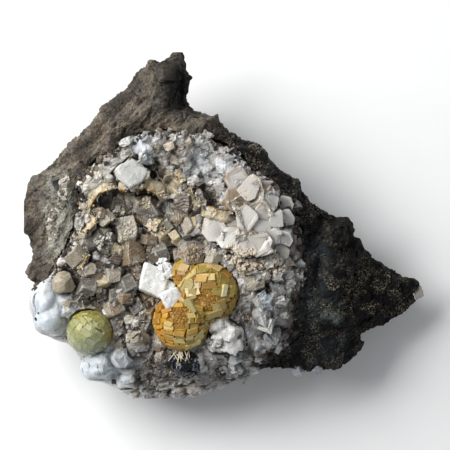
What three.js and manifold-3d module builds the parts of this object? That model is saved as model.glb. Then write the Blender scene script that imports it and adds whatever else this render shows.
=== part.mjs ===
// Prehnite balls on a calcite-lined vug in a broken piece of basalt, lying on its back.
// Millimetres, +Z up, +Y toward the horn of the rock. The origin is below the middle of the
// specimen, on the surface that it rests on.
import * as THREE from "three";
import { mergeVertices } from "three/addons/utils/BufferGeometryUtils.js";
import Module from "manifold-3d";

const wasm = await Module();
wasm.setup();

// Driving dimensions.
const SEAT_GAP = 0.3;
const BACK_DEPTH = 6;
const CRUST_DEPTH = 4.2;
const CRUST_PROUD = 1.1;
const CRUST_SPACING = 7.4;
const FLOOR_SPACING = 11;
const RIM_CRYSTAL_SPACING = 12;
const ROCK_SPACING = 6.6;
const BROKEN_EDGE = 3;
const SHELL_INSET = 0.965;
const PREHNITE_BALL_RADIUS = 7.6;
const UPPER_LOBE_RADIUS = 10.2;
const LOWER_LOBE_RADIUS = 9.4;
const SMALL_LOBE_RADIUS = 4.8;
const DARK_BALL_RADIUS = 4.8;
const KNOB_RADIUS = 1.5;
const HOLLOW_CRYSTAL_SPACING = 7;
const LEDGE_THICKNESS = 1.1;
const RHOMB_TILT = THREE.MathUtils.degToRad(63.8);
const PLATE_REACH = 1.06;
const GOLDEN_TURN = 137.508;

// Edge of the basalt seen from above, clockwise from the left end of the shell: x, y, height.
const BASALT_EDGE = [
  [-67, -31, 17], [-65, -25, 18], [-65, -20, 20], [-66, -6, 20], [-68.3, -1, 19], [-67, 5, 20],
  [-66.5, 10, 20], [-65, 14.5, 20], [-57.5, 21.5, 22], [-49, 31, 24], [-40, 40.5, 25],
  [-32.5, 45.5, 26], [-31, 48.5, 26], [-28, 52.5, 27], [-25.5, 54, 29], [-24.5, 55, 31],
  [-20.5, 55, 30], [-18, 57.5, 31], [-15, 59, 33], [-13, 53.5, 27], [-12.5, 46.5, 23],
  [-13, 42.5, 27], [-9, 39.8, 28], [-4, 36.8, 30], [6.5, 29.7, 28], [9.4, 29.2, 27],
  [12.3, 27.8, 26], [14.6, 25.4, 25],
  [15.5, 22.5, 26], [21, 16.5, 25], [27, 11.5, 24], [35.5, 5, 23], [41, 1, 22], [43, -4, 19],
  [51, -10.5, 15], [60, -18, 12], [65.5, -20, 9], [67, -22.5, 8], [65.5, -25.5, 8],
  [60.5, -31, 9], [54, -35, 11], [48, -36, 12], [45, -37, 14], [47, -40.5, 14],
  [44.5, -44, 14], [37, -48.5, 14], [32, -50, 15], [26, -50, 16], [21.5, -49.5, 17],
  [16.5, -48.8, 18], [11.5, -48.6, 18],
];

// Broken edge of the white shell, clockwise on from the basalt: x, y, height.
const SHELL_EDGE = [
  [5.5, -51.5, 15], [0, -55, 14], [-9, -57.7, 13], [-18, -58.5, 13], [-27, -59, 13],
  [-32, -58.5, 13], [-36, -56, 13], [-40.5, -53.5, 13], [-46, -51.7, 13], [-49, -49.3, 14],
  [-49.3, -45, 15], [-52.7, -40.5, 15], [-56.5, -39.5, 15], [-60.5, -37.8, 15], [-64.3, -35, 16],
];

// Edge of the lining where it meets the basalt, clockwise from the shell's left end.
const CRUST_EDGE = [
  [-66.5, -28], [-64.5, -23.5], [-60, -18], [-58, -15.5], [-56.5, -12], [-53.5, -8], [-51.5, -3],
  [-50, 2], [-48.5, 9], [-49, 14], [-47, 18], [-42.5, 22], [-37.5, 25], [-34.5, 27.8],
  [-30.5, 30], [-24, 31], [-14, 31.2], [-8, 30.7], [-2.5, 27.5], [4.5, 24.5], [8.3, 18.5],
  [12, 17.5], [17, 14], [21, 9.3], [24, 2.5], [25.5, -4.5], [27, -9.5], [29.3, -13],
  [27, -18], [24.5, -25], [23.5, -32], [22, -37.5], [19.5, -42], [15, -45], [10, -47],
];

// Heights of the basalt inside its edge: horn, upper band, left slab, right ridge and wing.
const BASALT_POINTS = [
  [-19, 50.5, 37], [-19, 46, 36], [-22, 42.5, 36], [-16.5, 54.5, 35], [-16, 47.5, 27],
  [-15.5, 44, 29], [-13.5, 38.5, 34], [-25, 48, 33], [-29, 41, 34], [-20.5, 37, 35.5],
  [-36, 35, 32], [-35.5, 29.5, 35], [-25.5, 34, 35.5], [-47, 25.5, 31], [-44, 27.5, 30],
  [-8.5, 34.5, 34.5], [0, 30.5, 33.5], [7, 25.5, 32.5], [12.5, 20.5, 31.5], [19.5, 14, 30.5],
  [25, 8.5, 29.5], [31, 3, 28.5], [-52.5, 3.5, 29], [-55.5, -7, 27], [-59.5, -15, 25],
  [-52, 12, 31], [-56, 15.5, 27], [-61, 8.5, 24.5], [-62, -3.5, 24], [-61.5, -11, 23],
  [-57, 4, 26], [28.5, -3.5, 25], [31.5, -12.5, 24], [29, -22, 22.5], [26, -32.5, 21.5],
  [24, -41, 20], [38, -3.5, 27], [36.5, -12.5, 27], [37, -22, 26], [38.5, -29, 24],
  [42, -34.5, 19], [31, -39, 20], [37.5, -43, 17], [46, -12.5, 20], [47.5, -22, 18],
  [54.5, -21.5, 15], [51, -29.5, 14], [60, -24, 11], [44, -29.5, 18], [18, -46, 19],
];

// Heights of the ground that the lining covers: its rim, the hollow, and the high right side.
const VUG_POINTS = [
  [-46, 14, 33], [-40, 20, 33.5], [-32, 25, 34], [-22, 28, 34.5], [-12, 28, 34.5],
  [-3, 24.5, 34], [3, 20, 34], [-40, 11, 28.5], [-32, 19, 30], [-20, 22, 30.5], [-10, 20, 30],
  [-47, 3, 30], [-50, -8, 28.5], [-37, 5, 24.5], [-26, 7, 24], [-33, -4, 23.5],
  [-22, -4, 24], [-12, 0, 26], [-44, -6, 26], [-33, -12, 23.5], [-22, -13, 24],
  [-11, -9, 27], [-54, -18, 27], [-46, -18, 25], [-40, -22, 24], [-31, -24, 23.5],
  [-60, -27, 24.5], [-54, -30, 24], [-46, -36, 22], [-35, -34, 22.5], [-28, -38, 23],
  [-14, -25, 23], [-8, -34, 24], [-3, -18, 28], [0, 6, 30], [-4, 12, 27.5], [-1, -4, 31.5],
  [8, 10, 33.5], [8, 0, 35], [13, -8, 35], [18, 5, 33], [21, -3, 32.5], [5, -12, 32.5],
  [14, -18, 32.5], [22, -14, 31.5], [8, -24, 30.5], [18, -28, 29], [5, -32, 27],
  [14, -37, 26.5], [-1, -40, 25], [8, -43, 25], [-20, -45, 22.5], [-10, -48, 22.5],
  [-33, -46, 21.5], [-43, -45, 21.5], [-26, -52, 20], [-12, -53, 19], [-38, -50, 19.5],
  [-58, -34, 20], [1, -48, 21.5],
];

// The hollow of the vug, and the larger rhombs in it: x, y, edge length.
const HOLLOW_EDGE = [
  [-46, 9], [-36, 13], [-25, 13], [-14, 13], [-7, 8], [1, 2], [2, -6], [-1, -12], [-8, -14],
  [-17, -14], [-27, -24], [-25, -32], [-21, -38], [-22, -45], [-30, -45], [-37, -36],
  [-42, -28], [-52, -26], [-58, -20], [-54, -14], [-51, -8], [-49, 0],
];
const HOLLOW_CRYSTALS = [
  [-37, 5.3, 6], [-24.8, 5.3, 7.6], [-33.7, -2.5, 7.4], [-32.6, -9.6, 6], [-21.8, -3.4, 6.4],
  [-9.2, -0.7, 6.8], [-11.2, -8.8, 7], [-22.8, -9.5, 6], [-47.3, -21, 5.6], [-48.3, -25.5, 5.2],
  [-37.4, -27.9, 6], [-34, -22, 6.4], [-38.4, -16.3, 6], [-29.6, -38.8, 6], [-47.3, 0.3, 5.4],
  [-50.2, -10.2, 5.6], [-42, -3.5, 5.4], [-17, 3.5, 5.6], [-43, -11, 5.6], [-15.5, -3.5, 5.2],
];

// Lumps of massive calcite on the shell: x, y, rise, then half length, half width and turn.
const SHELL_LUMPS = [
  [-59, -29, 0.5, 7, 5, 80], [-42.5, -48.5, 0, 6.6, 4.6, -15], [-33.5, -51.5, 0, 4.6, 4, 0],
  [-35.5, -44.5, 0.5, 4, 3.4, 30], [14.5, -27, 0.5, 7, 5, 70], [23.5, -9, 0, 5, 3.4, 80],
  [12, -41, 0, 5.5, 4, 20], [-55, -12.5, 0, 4, 3, 70], [-44.5, 17, 0, 4.4, 3.4, 50],
  [-14, 25.5, 0, 5.4, 3.4, 0], [1, 19.5, 0.5, 5, 3.6, -30], [-18, -54, 0, 5, 3, 0],
];

// Thin upright ledges left by crystals that have gone: the line of each, then its height.
const LEDGES = [
  { line: [[-44.5, 8.2], [-41.5, 12], [-36.4, 12.7], [-30, 12.2], [-27.5, 14]], height: 4.6 },
  { line: [[-25.6, 14.5], [-24, 10.6], [-20.4, 9], [-16.6, 10.2], [-14.8, 13]], height: 4.2 },
  { line: [[-9, 12], [-7.6, 7.6], [-3.6, 4], [1, 3.6], [4.4, 6], [5.2, 9.6]], height: 4.4 },
  { line: [[-44.2, 1.6], [-45.2, -1.8], [-49.2, -3.4]], height: 3.6 },
  { line: [[-47.2, -11], [-47.4, -13.2], [-48.6, -15]], height: 3.4 },
];

// The flat face on the back that the specimen rests on, and its height: x, y.
const FOOT_EDGE = [
  [-44, 4], [-37, 17], [-24, 27], [-10, 25], [3, 17], [17, 5], [28, -8], [30, -22], [18, -33],
  [0, -40], [-20, -42], [-37, -34], [-45, -18],
];
const FOOT_HEIGHT = 0;

function seededRandom(seed) {
  let state = seed;
  return (low, high) => {
    state = (Math.imul(state, 1664525) + 1013904223) >>> 0;
    return low + (high - low) * (state / 4294967296);
  };
}

// Solids: geometry to manifold and back.

function solidFrom(geometry) {
  const bare = geometry.clone();
  bare.deleteAttribute("normal");
  bare.deleteAttribute("uv");
  const merged = mergeVertices(bare, 1e-4);
  const mesh = new wasm.Mesh({
    numProp: 3,
    vertProperties: new Float32Array(merged.attributes.position.array),
    triVerts: new Uint32Array(merged.index.array),
  });
  return new wasm.Manifold(mesh);
}

function geometryFrom(solid) {
  const mesh = solid.getMesh();
  const geometry = new THREE.BufferGeometry();
  geometry.setAttribute("position", new THREE.BufferAttribute(mesh.vertProperties, 3));
  geometry.setIndex(new THREE.BufferAttribute(mesh.triVerts, 1));
  return geometry;
}

function joined(solids) {
  return solids.reduce((whole, solid) => whole.add(solid));
}

function largestPiece(solid) {
  const pieces = solid.decompose();
  pieces.sort((first, second) => second.volume() - first.volume());
  return pieces[0];
}

// Surfaces over an outline: a Delaunay net of points, raised into a closed layer.

function insideLoop(x, y, loop) {
  let inside = false;
  loop.forEach((start, index) => {
    const end = loop[(index + 1) % loop.length];
    const crosses = start[1] > y !== end[1] > y;
    const crossing = start[0] + ((y - start[1]) * (end[0] - start[0])) / (end[1] - start[1]);
    if (crosses && x < crossing) {
      inside = !inside;
    }
  });
  return inside;
}

function distanceToLoop(x, y, loop) {
  const point = new THREE.Vector3(x, y, 0);
  const nearest = new THREE.Vector3();
  const distances = loop.map((start, index) => {
    const end = loop[(index + 1) % loop.length];
    const side = new THREE.Line3(
      new THREE.Vector3(start[0], start[1], 0),
      new THREE.Vector3(end[0], end[1], 0),
    );
    side.closestPointToPoint(point, true, nearest);
    return nearest.distanceTo(point);
  });
  return Math.min(...distances);
}

function inCircle(corners, point) {
  const [a, b, c] = corners.map((corner) => [corner[0] - point[0], corner[1] - point[1]]);
  const squares = [a, b, c].map((side) => side[0] ** 2 + side[1] ** 2);
  const determinant =
    squares[0] * (b[0] * c[1] - c[0] * b[1]) -
    squares[1] * (a[0] * c[1] - c[0] * a[1]) +
    squares[2] * (a[0] * b[1] - b[0] * a[1]);
  return determinant > 0;
}

// Adds the points one by one: each removes the triangles whose circle holds it.
function delaunay(points) {
  const count = points.length;
  const all = [...points, [-2000, -2000], [2000, -2000], [0, 2000]];
  let triangles = [[count, count + 1, count + 2]];
  for (let added = 0; added < count; added += 1) {
    const edges = new Map();
    const kept = [];
    triangles.forEach((triangle) => {
      const corners = triangle.map((corner) => all[corner]);
      if (!inCircle(corners, all[added])) {
        kept.push(triangle);
        return;
      }
      triangle.forEach((start, side) => {
        const end = triangle[(side + 1) % 3];
        if (!edges.delete(`${end},${start}`)) {
          edges.set(`${start},${end}`, [start, end]);
        }
      });
    });
    edges.forEach(([start, end]) => kept.push([start, end, added]));
    triangles = kept;
  }
  return triangles.filter((triangle) => triangle.every((corner) => corner < count));
}

function netInside(points, loop) {
  return delaunay(points).filter((triangle) => {
    const x = (points[triangle[0]][0] + points[triangle[1]][0] + points[triangle[2]][0]) / 3;
    const y = (points[triangle[0]][1] + points[triangle[1]][1] + points[triangle[2]][1]) / 3;
    return insideLoop(x, y, loop);
  });
}

// A closed solid between two heights of each point of a net.
function layer(points, triangles, lowerAt, upperAt) {
  const count = points.length;
  const lower = points.map((point, index) => [point[0], point[1], lowerAt(index)]);
  const upper = points.map((point, index) => [point[0], point[1], upperAt(index)]);
  const faces = [];
  const rim = new Map();
  triangles.forEach((triangle) => {
    const [a, b, c] = triangle;
    faces.push(a + count, b + count, c + count, c, b, a);
    triangle.forEach((start, side) => {
      const end = triangle[(side + 1) % 3];
      if (!rim.delete(`${end},${start}`)) {
        rim.set(`${start},${end}`, [start, end]);
      }
    });
  });
  rim.forEach(([start, end]) => {
    faces.push(start, end, end + count, start, end + count, start + count);
  });
  const geometry = new THREE.BufferGeometry();
  const corners = [...lower, ...upper].flat();
  geometry.setAttribute("position", new THREE.Float32BufferAttribute(corners, 3));
  geometry.setIndex(faces);
  return solidFrom(geometry);
}

function scatter(loop, spacing, margin, random) {
  const points = [];
  const rowHeight = spacing * Math.sqrt(0.75);
  const rows = Math.ceil(140 / rowHeight);
  const columns = Math.ceil(160 / spacing);
  for (let row = 0; row < rows; row += 1) {
    for (let column = 0; column < columns; column += 1) {
      const shift = (row % 2) / 2;
      const x = -80 + (column + shift) * spacing + random(-0.28, 0.28) * spacing;
      const y = -70 + row * rowHeight + random(-0.28, 0.28) * spacing;
      if (insideLoop(x, y, loop) && distanceToLoop(x, y, loop) > margin) {
        points.push([x, y]);
      }
    }
  }
  return points;
}

// Ground height: flat facets between the chosen heights, the same under rock and lining.

const silhouette = [...BASALT_EDGE, ...SHELL_EDGE];
const groundPoints = [...silhouette, ...BASALT_POINTS, ...VUG_POINTS];
const groundNet = netInside(groundPoints, silhouette);

function groundHeight(x, y) {
  let height = 0;
  let best = -Infinity;
  groundNet.forEach((triangle) => {
    const [a, b, c] = triangle.map((corner) => groundPoints[corner]);
    const area = (b[0] - a[0]) * (c[1] - a[1]) - (c[0] - a[0]) * (b[1] - a[1]);
    const shareB = ((x - a[0]) * (c[1] - a[1]) - (c[0] - a[0]) * (y - a[1])) / area;
    const shareC = ((b[0] - a[0]) * (y - a[1]) - (x - a[0]) * (b[1] - a[1])) / area;
    const shareA = 1 - shareB - shareC;
    const least = Math.min(shareA, shareB, shareC);
    if (least > best) {
      best = least;
      height = shareA * a[2] + shareB * b[2] + shareC * c[2];
    }
  });
  return height + BACK_DEPTH;
}

// The rock: the ground above, and a back that narrows to the flat face below.

function towardMiddle(point, share) {
  const middle = [-9, -8];
  return [
    middle[0] + (point[0] - middle[0]) * share,
    middle[1] + (point[1] - middle[1]) * share,
    point[2],
  ];
}

function rockUpper(random) {
  const edge = [...BASALT_EDGE, ...SHELL_EDGE.map((point) => towardMiddle(point, SHELL_INSET))];
  const chosen = [...edge, ...BASALT_POINTS, ...VUG_POINTS];
  const loose = scatter(edge, ROCK_SPACING, 2.6, random).filter(
    ([x, y]) => !insideLoop(x, y, crustLoop) && nearestGap(x, y, chosen) > 3.2,
  );
  const points = [...chosen, ...loose];
  const heights = points.map((point, index) => {
    const rough = index < chosen.length ? 0 : random(-0.7, 0.7);
    return groundHeight(point[0], point[1]) + rough;
  });
  const net = netInside(points, edge);
  return layer(points, net, () => -20, (index) => heights[index]);
}

function nearestGap(x, y, points) {
  return Math.min(...points.map((point) => Math.hypot(x - point[0], y - point[1])));
}

function rockLower(random) {
  const edge = [...BASALT_EDGE, ...SHELL_EDGE];
  const rings = [
    { share: 0.8, rise: 0.42, jitter: 1.6 },
    { share: 1, rise: 1, jitter: 0.6 },
    { share: 1.3, rise: 2, jitter: 0 },
  ];
  const points = FOOT_EDGE.map(([x, y]) => [x, y, FOOT_HEIGHT]);
  rings.forEach((ring) => {
    edge.forEach((point, index) => {
      const [x, y, height] = towardMiddle(point, ring.share);
      const isFree = nearestGap(x, y, points) > 3.5 && !insideLoop(x, y, FOOT_EDGE);
      if (isFree && (index % 2 === 0 || ring.share === 1)) {
        const wallFoot = height + BACK_DEPTH - BROKEN_EDGE;
        points.push([x, y, wallFoot * ring.rise + random(-ring.jitter, ring.jitter)]);
      }
    });
  });
  return layer(points, delaunay(points), (index) => points[index][2], () => 90);
}

// The lining: lumps and crystals on the ground of the vug, with a plainer floor below.

const crustLoop = [...CRUST_EDGE, ...SHELL_EDGE];
const floorPoints = scatter(crustLoop, FLOOR_SPACING, 3, seededRandom(9));

function crustGround(random) {
  const points = [...crustLoop, ...scatter(crustLoop, CRUST_SPACING, 1.8, random)];
  const net = netInside(points, crustLoop);
  const tops = points.map(([x, y], index) => {
    const lump = index < crustLoop.length ? 0 : random(-0.5, 1.3);
    return groundHeight(x, y) + CRUST_PROUD + lump;
  });
  return layer(points, net, () => -20, (index) => tops[index]);
}

// The space over a floor that lies at a depth below the ground, out to a loop.
function spaceOver(points, loop, depth) {
  const net = netInside(points, loop);
  const floorAt = (index) => groundHeight(points[index][0], points[index][1]) - depth;
  return layer(points, net, floorAt, () => 90);
}

function crustSpace() {
  return spaceOver([...crustLoop, ...floorPoints], crustLoop, CRUST_DEPTH);
}

// The space that the lining takes out of the rock: a little deeper and wider.
function crustSeat() {
  const wideLoop = crustLoop.map(([x, y], index) => {
    return towardMiddle([x, y, 0], index < CRUST_EDGE.length ? 1.008 : 1.06);
  });
  const points = [...crustLoop, ...floorPoints, ...wideLoop];
  return spaceOver(points, wideLoop, CRUST_DEPTH + SEAT_GAP);
}

// Crystals and the places where they sit.

// A cleavage rhomb of calcite, its three-fold axis upright.
function calciteRhomb(width, depth, height) {
  const edges = [width, depth, height].map((length, turn) => {
    const around = (turn * 2 * Math.PI) / 3;
    const across = Math.sin(RHOMB_TILT) * length;
    return new THREE.Vector3(
      across * Math.cos(around),
      across * Math.sin(around),
      Math.cos(RHOMB_TILT) * length,
    );
  });
  return new THREE.BoxGeometry(1, 1, 1).applyMatrix4(new THREE.Matrix4().makeBasis(...edges));
}

// A flat-lying cleavage block, its corners 75 degrees wide.
function calciteBlock(width, depth, height) {
  const shear = new THREE.Matrix4().makeBasis(
    new THREE.Vector3(width, 0, 0),
    new THREE.Vector3(depth * 0.2, depth, 0),
    new THREE.Vector3(height * 0.12, height * 0.16, height),
  );
  return new THREE.BoxGeometry(1, 1, 1).applyMatrix4(shear);
}

function ellipsoid(halfLength, halfWidth, halfHeight, detail) {
  return new THREE.IcosahedronGeometry(1, detail).scale(halfLength, halfWidth, halfHeight);
}

// Turns a crystal about its own axis, leans it over and moves it to its place. Degrees.
function placed(geometry, centre, spin, tilt, heading) {
  const radians = THREE.MathUtils.degToRad;
  geometry.rotateZ(radians(spin));
  geometry.rotateX(radians(tilt));
  geometry.rotateZ(radians(heading));
  geometry.translate(...centre);
  return solidFrom(geometry);
}

function onGround(x, y, rise) {
  return [x, y, groundHeight(x, y) + rise];
}

function hollowCrystals(random) {
  const loose = scatter(HOLLOW_EDGE, HOLLOW_CRYSTAL_SPACING, 1, random)
    .filter(([x, y]) => nearestGap(x, y, HOLLOW_CRYSTALS) > 4)
    .map(([x, y]) => [x, y, random(4, 5.4)]);
  return [...HOLLOW_CRYSTALS, ...loose].map(([x, y, edge]) => {
    const rhomb = calciteRhomb(edge, edge * random(0.85, 1), edge * random(0.8, 1));
    const centre = onGround(x, y, edge * 0.3);
    return placed(rhomb, centre, random(0, 360), random(5, 38), random(0, 360));
  });
}

function rimCrystals(random) {
  return scatter(crustLoop, RIM_CRYSTAL_SPACING, 2.6, random)
    .filter(([x, y]) => !insideLoop(x, y, HOLLOW_EDGE))
    .map(([x, y]) => {
      const edge = random(3, 5);
      const centre = onGround(x, y, CRUST_PROUD + 0.2);
      const rhomb = calciteRhomb(edge, edge, edge);
      return placed(rhomb, centre, random(0, 360), random(0, 40), random(0, 360));
    });
}

function shellLumps() {
  return SHELL_LUMPS.map(([x, y, rise, halfLength, halfWidth, turn]) => {
    const lump = ellipsoid(halfLength, halfWidth, halfWidth * 0.8, 0);
    return placed(lump, onGround(x, y, rise), 0, 0, turn);
  });
}

function ledge({ line, height }) {
  const curve = new THREE.SplineCurve(line.map(([x, y]) => new THREE.Vector2(x, y)));
  const steps = line.length + 1;
  const sides = [0, 1].map((side) => {
    const offset = (side - 0.5) * LEDGE_THICKNESS;
    return Array.from({ length: steps + 1 }, (_, step) => {
      const point = curve.getPoint(step / steps);
      const along = curve.getTangent(step / steps);
      return new THREE.Vector2(point.x + along.y * offset, point.y - along.x * offset);
    });
  });
  const outline = new THREE.Shape([...sides[1], ...sides[0].reverse()]);
  const wall = new THREE.ExtrudeGeometry(outline, { depth: height + 2, bevelEnabled: false });
  const [x, y] = line[Math.floor(line.length / 2)];
  wall.translate(0, 0, groundHeight(x, y) - 1);
  return solidFrom(wall);
}

// Prehnite: a ball of many flat-faced plates that stand a little proud of it. Its seat is a
// plain ball that clears the plates.
function prehniteLobe({ centre, radius, plates, seed }, swell) {
  if (swell > 0) {
    const seatRadius = radius * PLATE_REACH + swell;
    return placed(ellipsoid(seatRadius, seatRadius, seatRadius, 2), centre, 0, 0, 0);
  }
  const random = seededRandom(seed);
  const solids = [placed(ellipsoid(radius, radius, radius, 2), centre, 0, 0, 0)];
  for (let index = 0; index < plates; index += 1) {
    const tilt = THREE.MathUtils.radToDeg(Math.acos(1 - (1.25 * (index + 0.5)) / plates));
    const width = radius * random(0.34, 0.56);
    const depth = radius * random(0.32, 0.48);
    const plate = new THREE.BoxGeometry(width, depth, radius * 0.4);
    plate.rotateY(random(-0.14, 0.14));
    plate.translate(0, 0, radius * 0.8);
    solids.push(placed(plate, centre, random(0, 90), tilt, index * GOLDEN_TURN));
  }
  return joined(solids);
}

// The pieces that sit in the lining or on the rock. Each is made again a little larger,
// by its swell, to cut the seat that it sits in.

function prehniteBall(swell) {
  const centre = onGround(-46.1, -36.4, 3.6);
  return prehniteLobe({ centre, radius: PREHNITE_BALL_RADIUS, plates: 11, seed: 11 }, swell);
}

function prehniteCluster(swell) {
  const lobes = [
    { centre: [-5.8, -22.7, 34.6], radius: UPPER_LOBE_RADIUS, plates: 13, seed: 21 },
    { centre: [-14.6, -32.6, 33.4], radius: LOWER_LOBE_RADIUS, plates: 12, seed: 22 },
    { centre: [-13.1, -16.3, 34.6], radius: SMALL_LOBE_RADIUS, plates: 4, seed: 23 },
  ];
  return joined(lobes.map((lobe) => prehniteLobe(lobe, swell)));
}

function darkBall(swell) {
  const radius = DARK_BALL_RADIUS + swell;
  const ball = ellipsoid(radius, radius, radius, 2);
  return placed(ball, onGround(-13.1, -47.4, 1.8), 20, 0, 0);
}

function brownKnob(swell) {
  const radius = KNOB_RADIUS + swell;
  return placed(ellipsoid(radius, radius, radius, 1), onGround(-1.9, -50, 1.6), 0, 0, 0);
}

// Overlapping crystals of one piece: place, size, then spin, tilt and heading.
function crystalGroup(makeCrystal, crystals, swell) {
  return joined(
    crystals.map(({ at, size, turn }) => {
      const [width, depth, height] = size.map((length) => length + 2 * swell);
      return placed(makeCrystal(width, depth, height), onGround(...at), ...turn);
    }),
  );
}

function whiteBlock(swell) {
  const crystals = [
    { at: [-24.2, -18.9, 3.4], size: [9.6, 9, 8.4], turn: [8, 12, 70] },
    { at: [-19.6, -15.4, 4], size: [3.8, 3.4, 4], turn: [30, 20, 10] },
    { at: [-19.6, -21.6, 2.4], size: [6, 4.6, 6], turn: [50, 15, 200] },
  ];
  return crystalGroup(calciteBlock, crystals, swell);
}

function whiteChip(swell) {
  const crystals = [{ at: [-18.2, -24.6, 9.4], size: [6.2, 7, 4.6], turn: [40, 24, 80] }];
  return crystalGroup(calciteBlock, crystals, swell);
}

function whiteCluster(swell) {
  const crystals = [
    { at: [-1.6, -33.4, 3.4], size: [5.6, 6, 5.4], turn: [10, 20, 30] },
    { at: [2.2, -36, 3.4], size: [6, 5.6, 5.6], turn: [70, 26, 120] },
    { at: [-2.6, -38.6, 3.4], size: [6, 6.2, 5], turn: [40, 18, 260] },
    { at: [1.4, -40.6, 3], size: [5, 5, 4.6], turn: [0, 30, 180] },
    { at: [4.6, -39.4, 2.2], size: [4.4, 4, 4], turn: [20, 15, 90] },
  ];
  return crystalGroup(calciteRhomb, crystals, swell);
}

function paleCluster(swell) {
  const crystals = [
    { at: [8.8, 1.6, 3], size: [12, 10, 4.2], turn: [15, 22, 100] },
    { at: [1.8, -5.4, 3.4], size: [9, 7.6, 4], turn: [40, 28, 60] },
    { at: [6.4, -6.6, 3.4], size: [8.4, 8, 4], turn: [70, 24, 20] },
    { at: [12.2, -6.6, 3], size: [9.6, 8, 4.2], turn: [20, 26, 280] },
    { at: [10, 12, 2.6], size: [8, 7, 3.8], turn: [60, 20, 330] },
    { at: [12.6, 5.4, 3.2], size: [8.6, 7.4, 4], turn: [5, 34, 300] },
    { at: [4.4, 7.2, 2.6], size: [7, 6, 3.6], turn: [80, 24, 50] },
    { at: [16.4, -2.4, 2.6], size: [6.4, 7.4, 4], turn: [35, 30, 270] },
  ];
  return crystalGroup(calciteBlock, crystals, swell);
}

function milkyBlock(swell) {
  const crystals = [{ at: [-31.6, 17.2, 3], size: [9.6, 8.8, 6.6], turn: [10, 14, 130] }];
  return crystalGroup(calciteBlock, crystals, swell);
}

function roundedCalcite(swell) {
  const lump = ellipsoid(4.6 + swell, 4.2 + swell, 3.6 + swell, 1);
  return placed(lump, onGround(-54.4, -19.7, 1.8), 0, 10, 60);
}

function edgeCrystal(x, size, turn) {
  return (swell) => {
    const length = size + 2 * swell;
    const crystal = calciteRhomb(length, length, length);
    return placed(crystal, [x, -49.6, 20.4], turn, 30, 40);
  };
}

function tipCrystal(swell) {
  const crystal = calciteBlock(3 + 2 * swell, 4 + 2 * swell, 3 + 2 * swell);
  return placed(crystal, [65.9, -22.9, 12.8], 30, 12, 0);
}

function rock() {
  const random = seededRandom(5);
  return rockUpper(random).intersect(rockLower(random)).subtract(crustSeat());
}

// The lining with its crystals, kept inside its edge and above its floor.
function lining() {
  const random = seededRandom(8);
  const grown = joined([
    crustGround(random),
    ...shellLumps(),
    ...rimCrystals(random),
    ...hollowCrystals(random),
    ...LEDGES.map(ledge),
  ]);
  return grown.intersect(crustSpace());
}

// Pieces in the order in which they cut one another: each is cut by all that follow it.
const PIECES = [
  { name: "basalt_matrix", make: rock, colour: "#3f3a36", roughness: 0.85 },
  { name: "calcite_crust", make: lining, colour: "#cfcbc4", roughness: 0.6 },
  { name: "prehnite_cluster", make: prehniteCluster, colour: "#c79a3a", roughness: 0.45 },
  { name: "prehnite_ball", make: prehniteBall, colour: "#c3c784", roughness: 0.4 },
  { name: "dark_ball", make: darkBall, colour: "#1b1e25", roughness: 0.25 },
  { name: "white_calcite_cluster", make: whiteCluster, colour: "#e8e6e1", roughness: 0.5 },
  { name: "pale_calcite_cluster", make: paleCluster, colour: "#d6c8ba", roughness: 0.45 },
  { name: "milky_calcite_block", make: milkyBlock, colour: "#dfe2e2", roughness: 0.35 },
  { name: "rounded_calcite", make: roundedCalcite, colour: "#c4b8a8", roughness: 0.55 },
  { name: "white_calcite_block", make: whiteBlock, colour: "#eff0ee", roughness: 0.5 },
  { name: "white_calcite_chip", make: whiteChip, colour: "#eceef0", roughness: 0.4 },
  { name: "brown_knob", make: brownKnob, colour: "#3a2a20", roughness: 0.5 },
  { name: "edge_crystal_left", make: edgeCrystal(25, 2.8, 10), colour: "#dcdad4", roughness: 0.4 },
  { name: "edge_crystal_right", make: edgeCrystal(31.3, 2.6, 55), colour: "#dcdad4", roughness: 0.4 },
  { name: "tip_crystal", make: tipCrystal, colour: "#d8d2c6", roughness: 0.4 },
];

function overlaps(first, second) {
  return first.intersect(second).volume() > 0;
}

const seats = PIECES.map((piece) => piece.make(SEAT_GAP));
const group = new THREE.Group();
PIECES.forEach(({ name, make, colour, roughness }, order) => {
  const whole = make(0);
  const cutters = seats.slice(Math.max(order + 1, 2)).filter((seat) => overlaps(whole, seat));
  const solid = cutters.reduce((rest, cutter) => rest.subtract(cutter), whole);
  const material = new THREE.MeshStandardMaterial({ color: colour, roughness, flatShading: true });
  const mesh = new THREE.Mesh(geometryFrom(largestPiece(solid)), material);
  mesh.name = name;
  group.add(mesh);
});

// The origin: below the middle of the specimen, at the height of its flat face.
const extent = new THREE.Box3().setFromObject(group);
const middle = extent.getCenter(new THREE.Vector3());
group.position.set(-middle.x, -middle.y, -FOOT_HEIGHT);

export default group;
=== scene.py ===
"""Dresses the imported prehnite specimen: broken basalt, its calcite lining and the prehnite."""

import math
import random

import bmesh
import bpy
import numpy as np
from bpy.props import FloatProperty, FloatVectorProperty, IntProperty, PointerProperty
from mathutils import Matrix, Vector, noise
from mathutils.bvhtree import BVHTree


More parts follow.
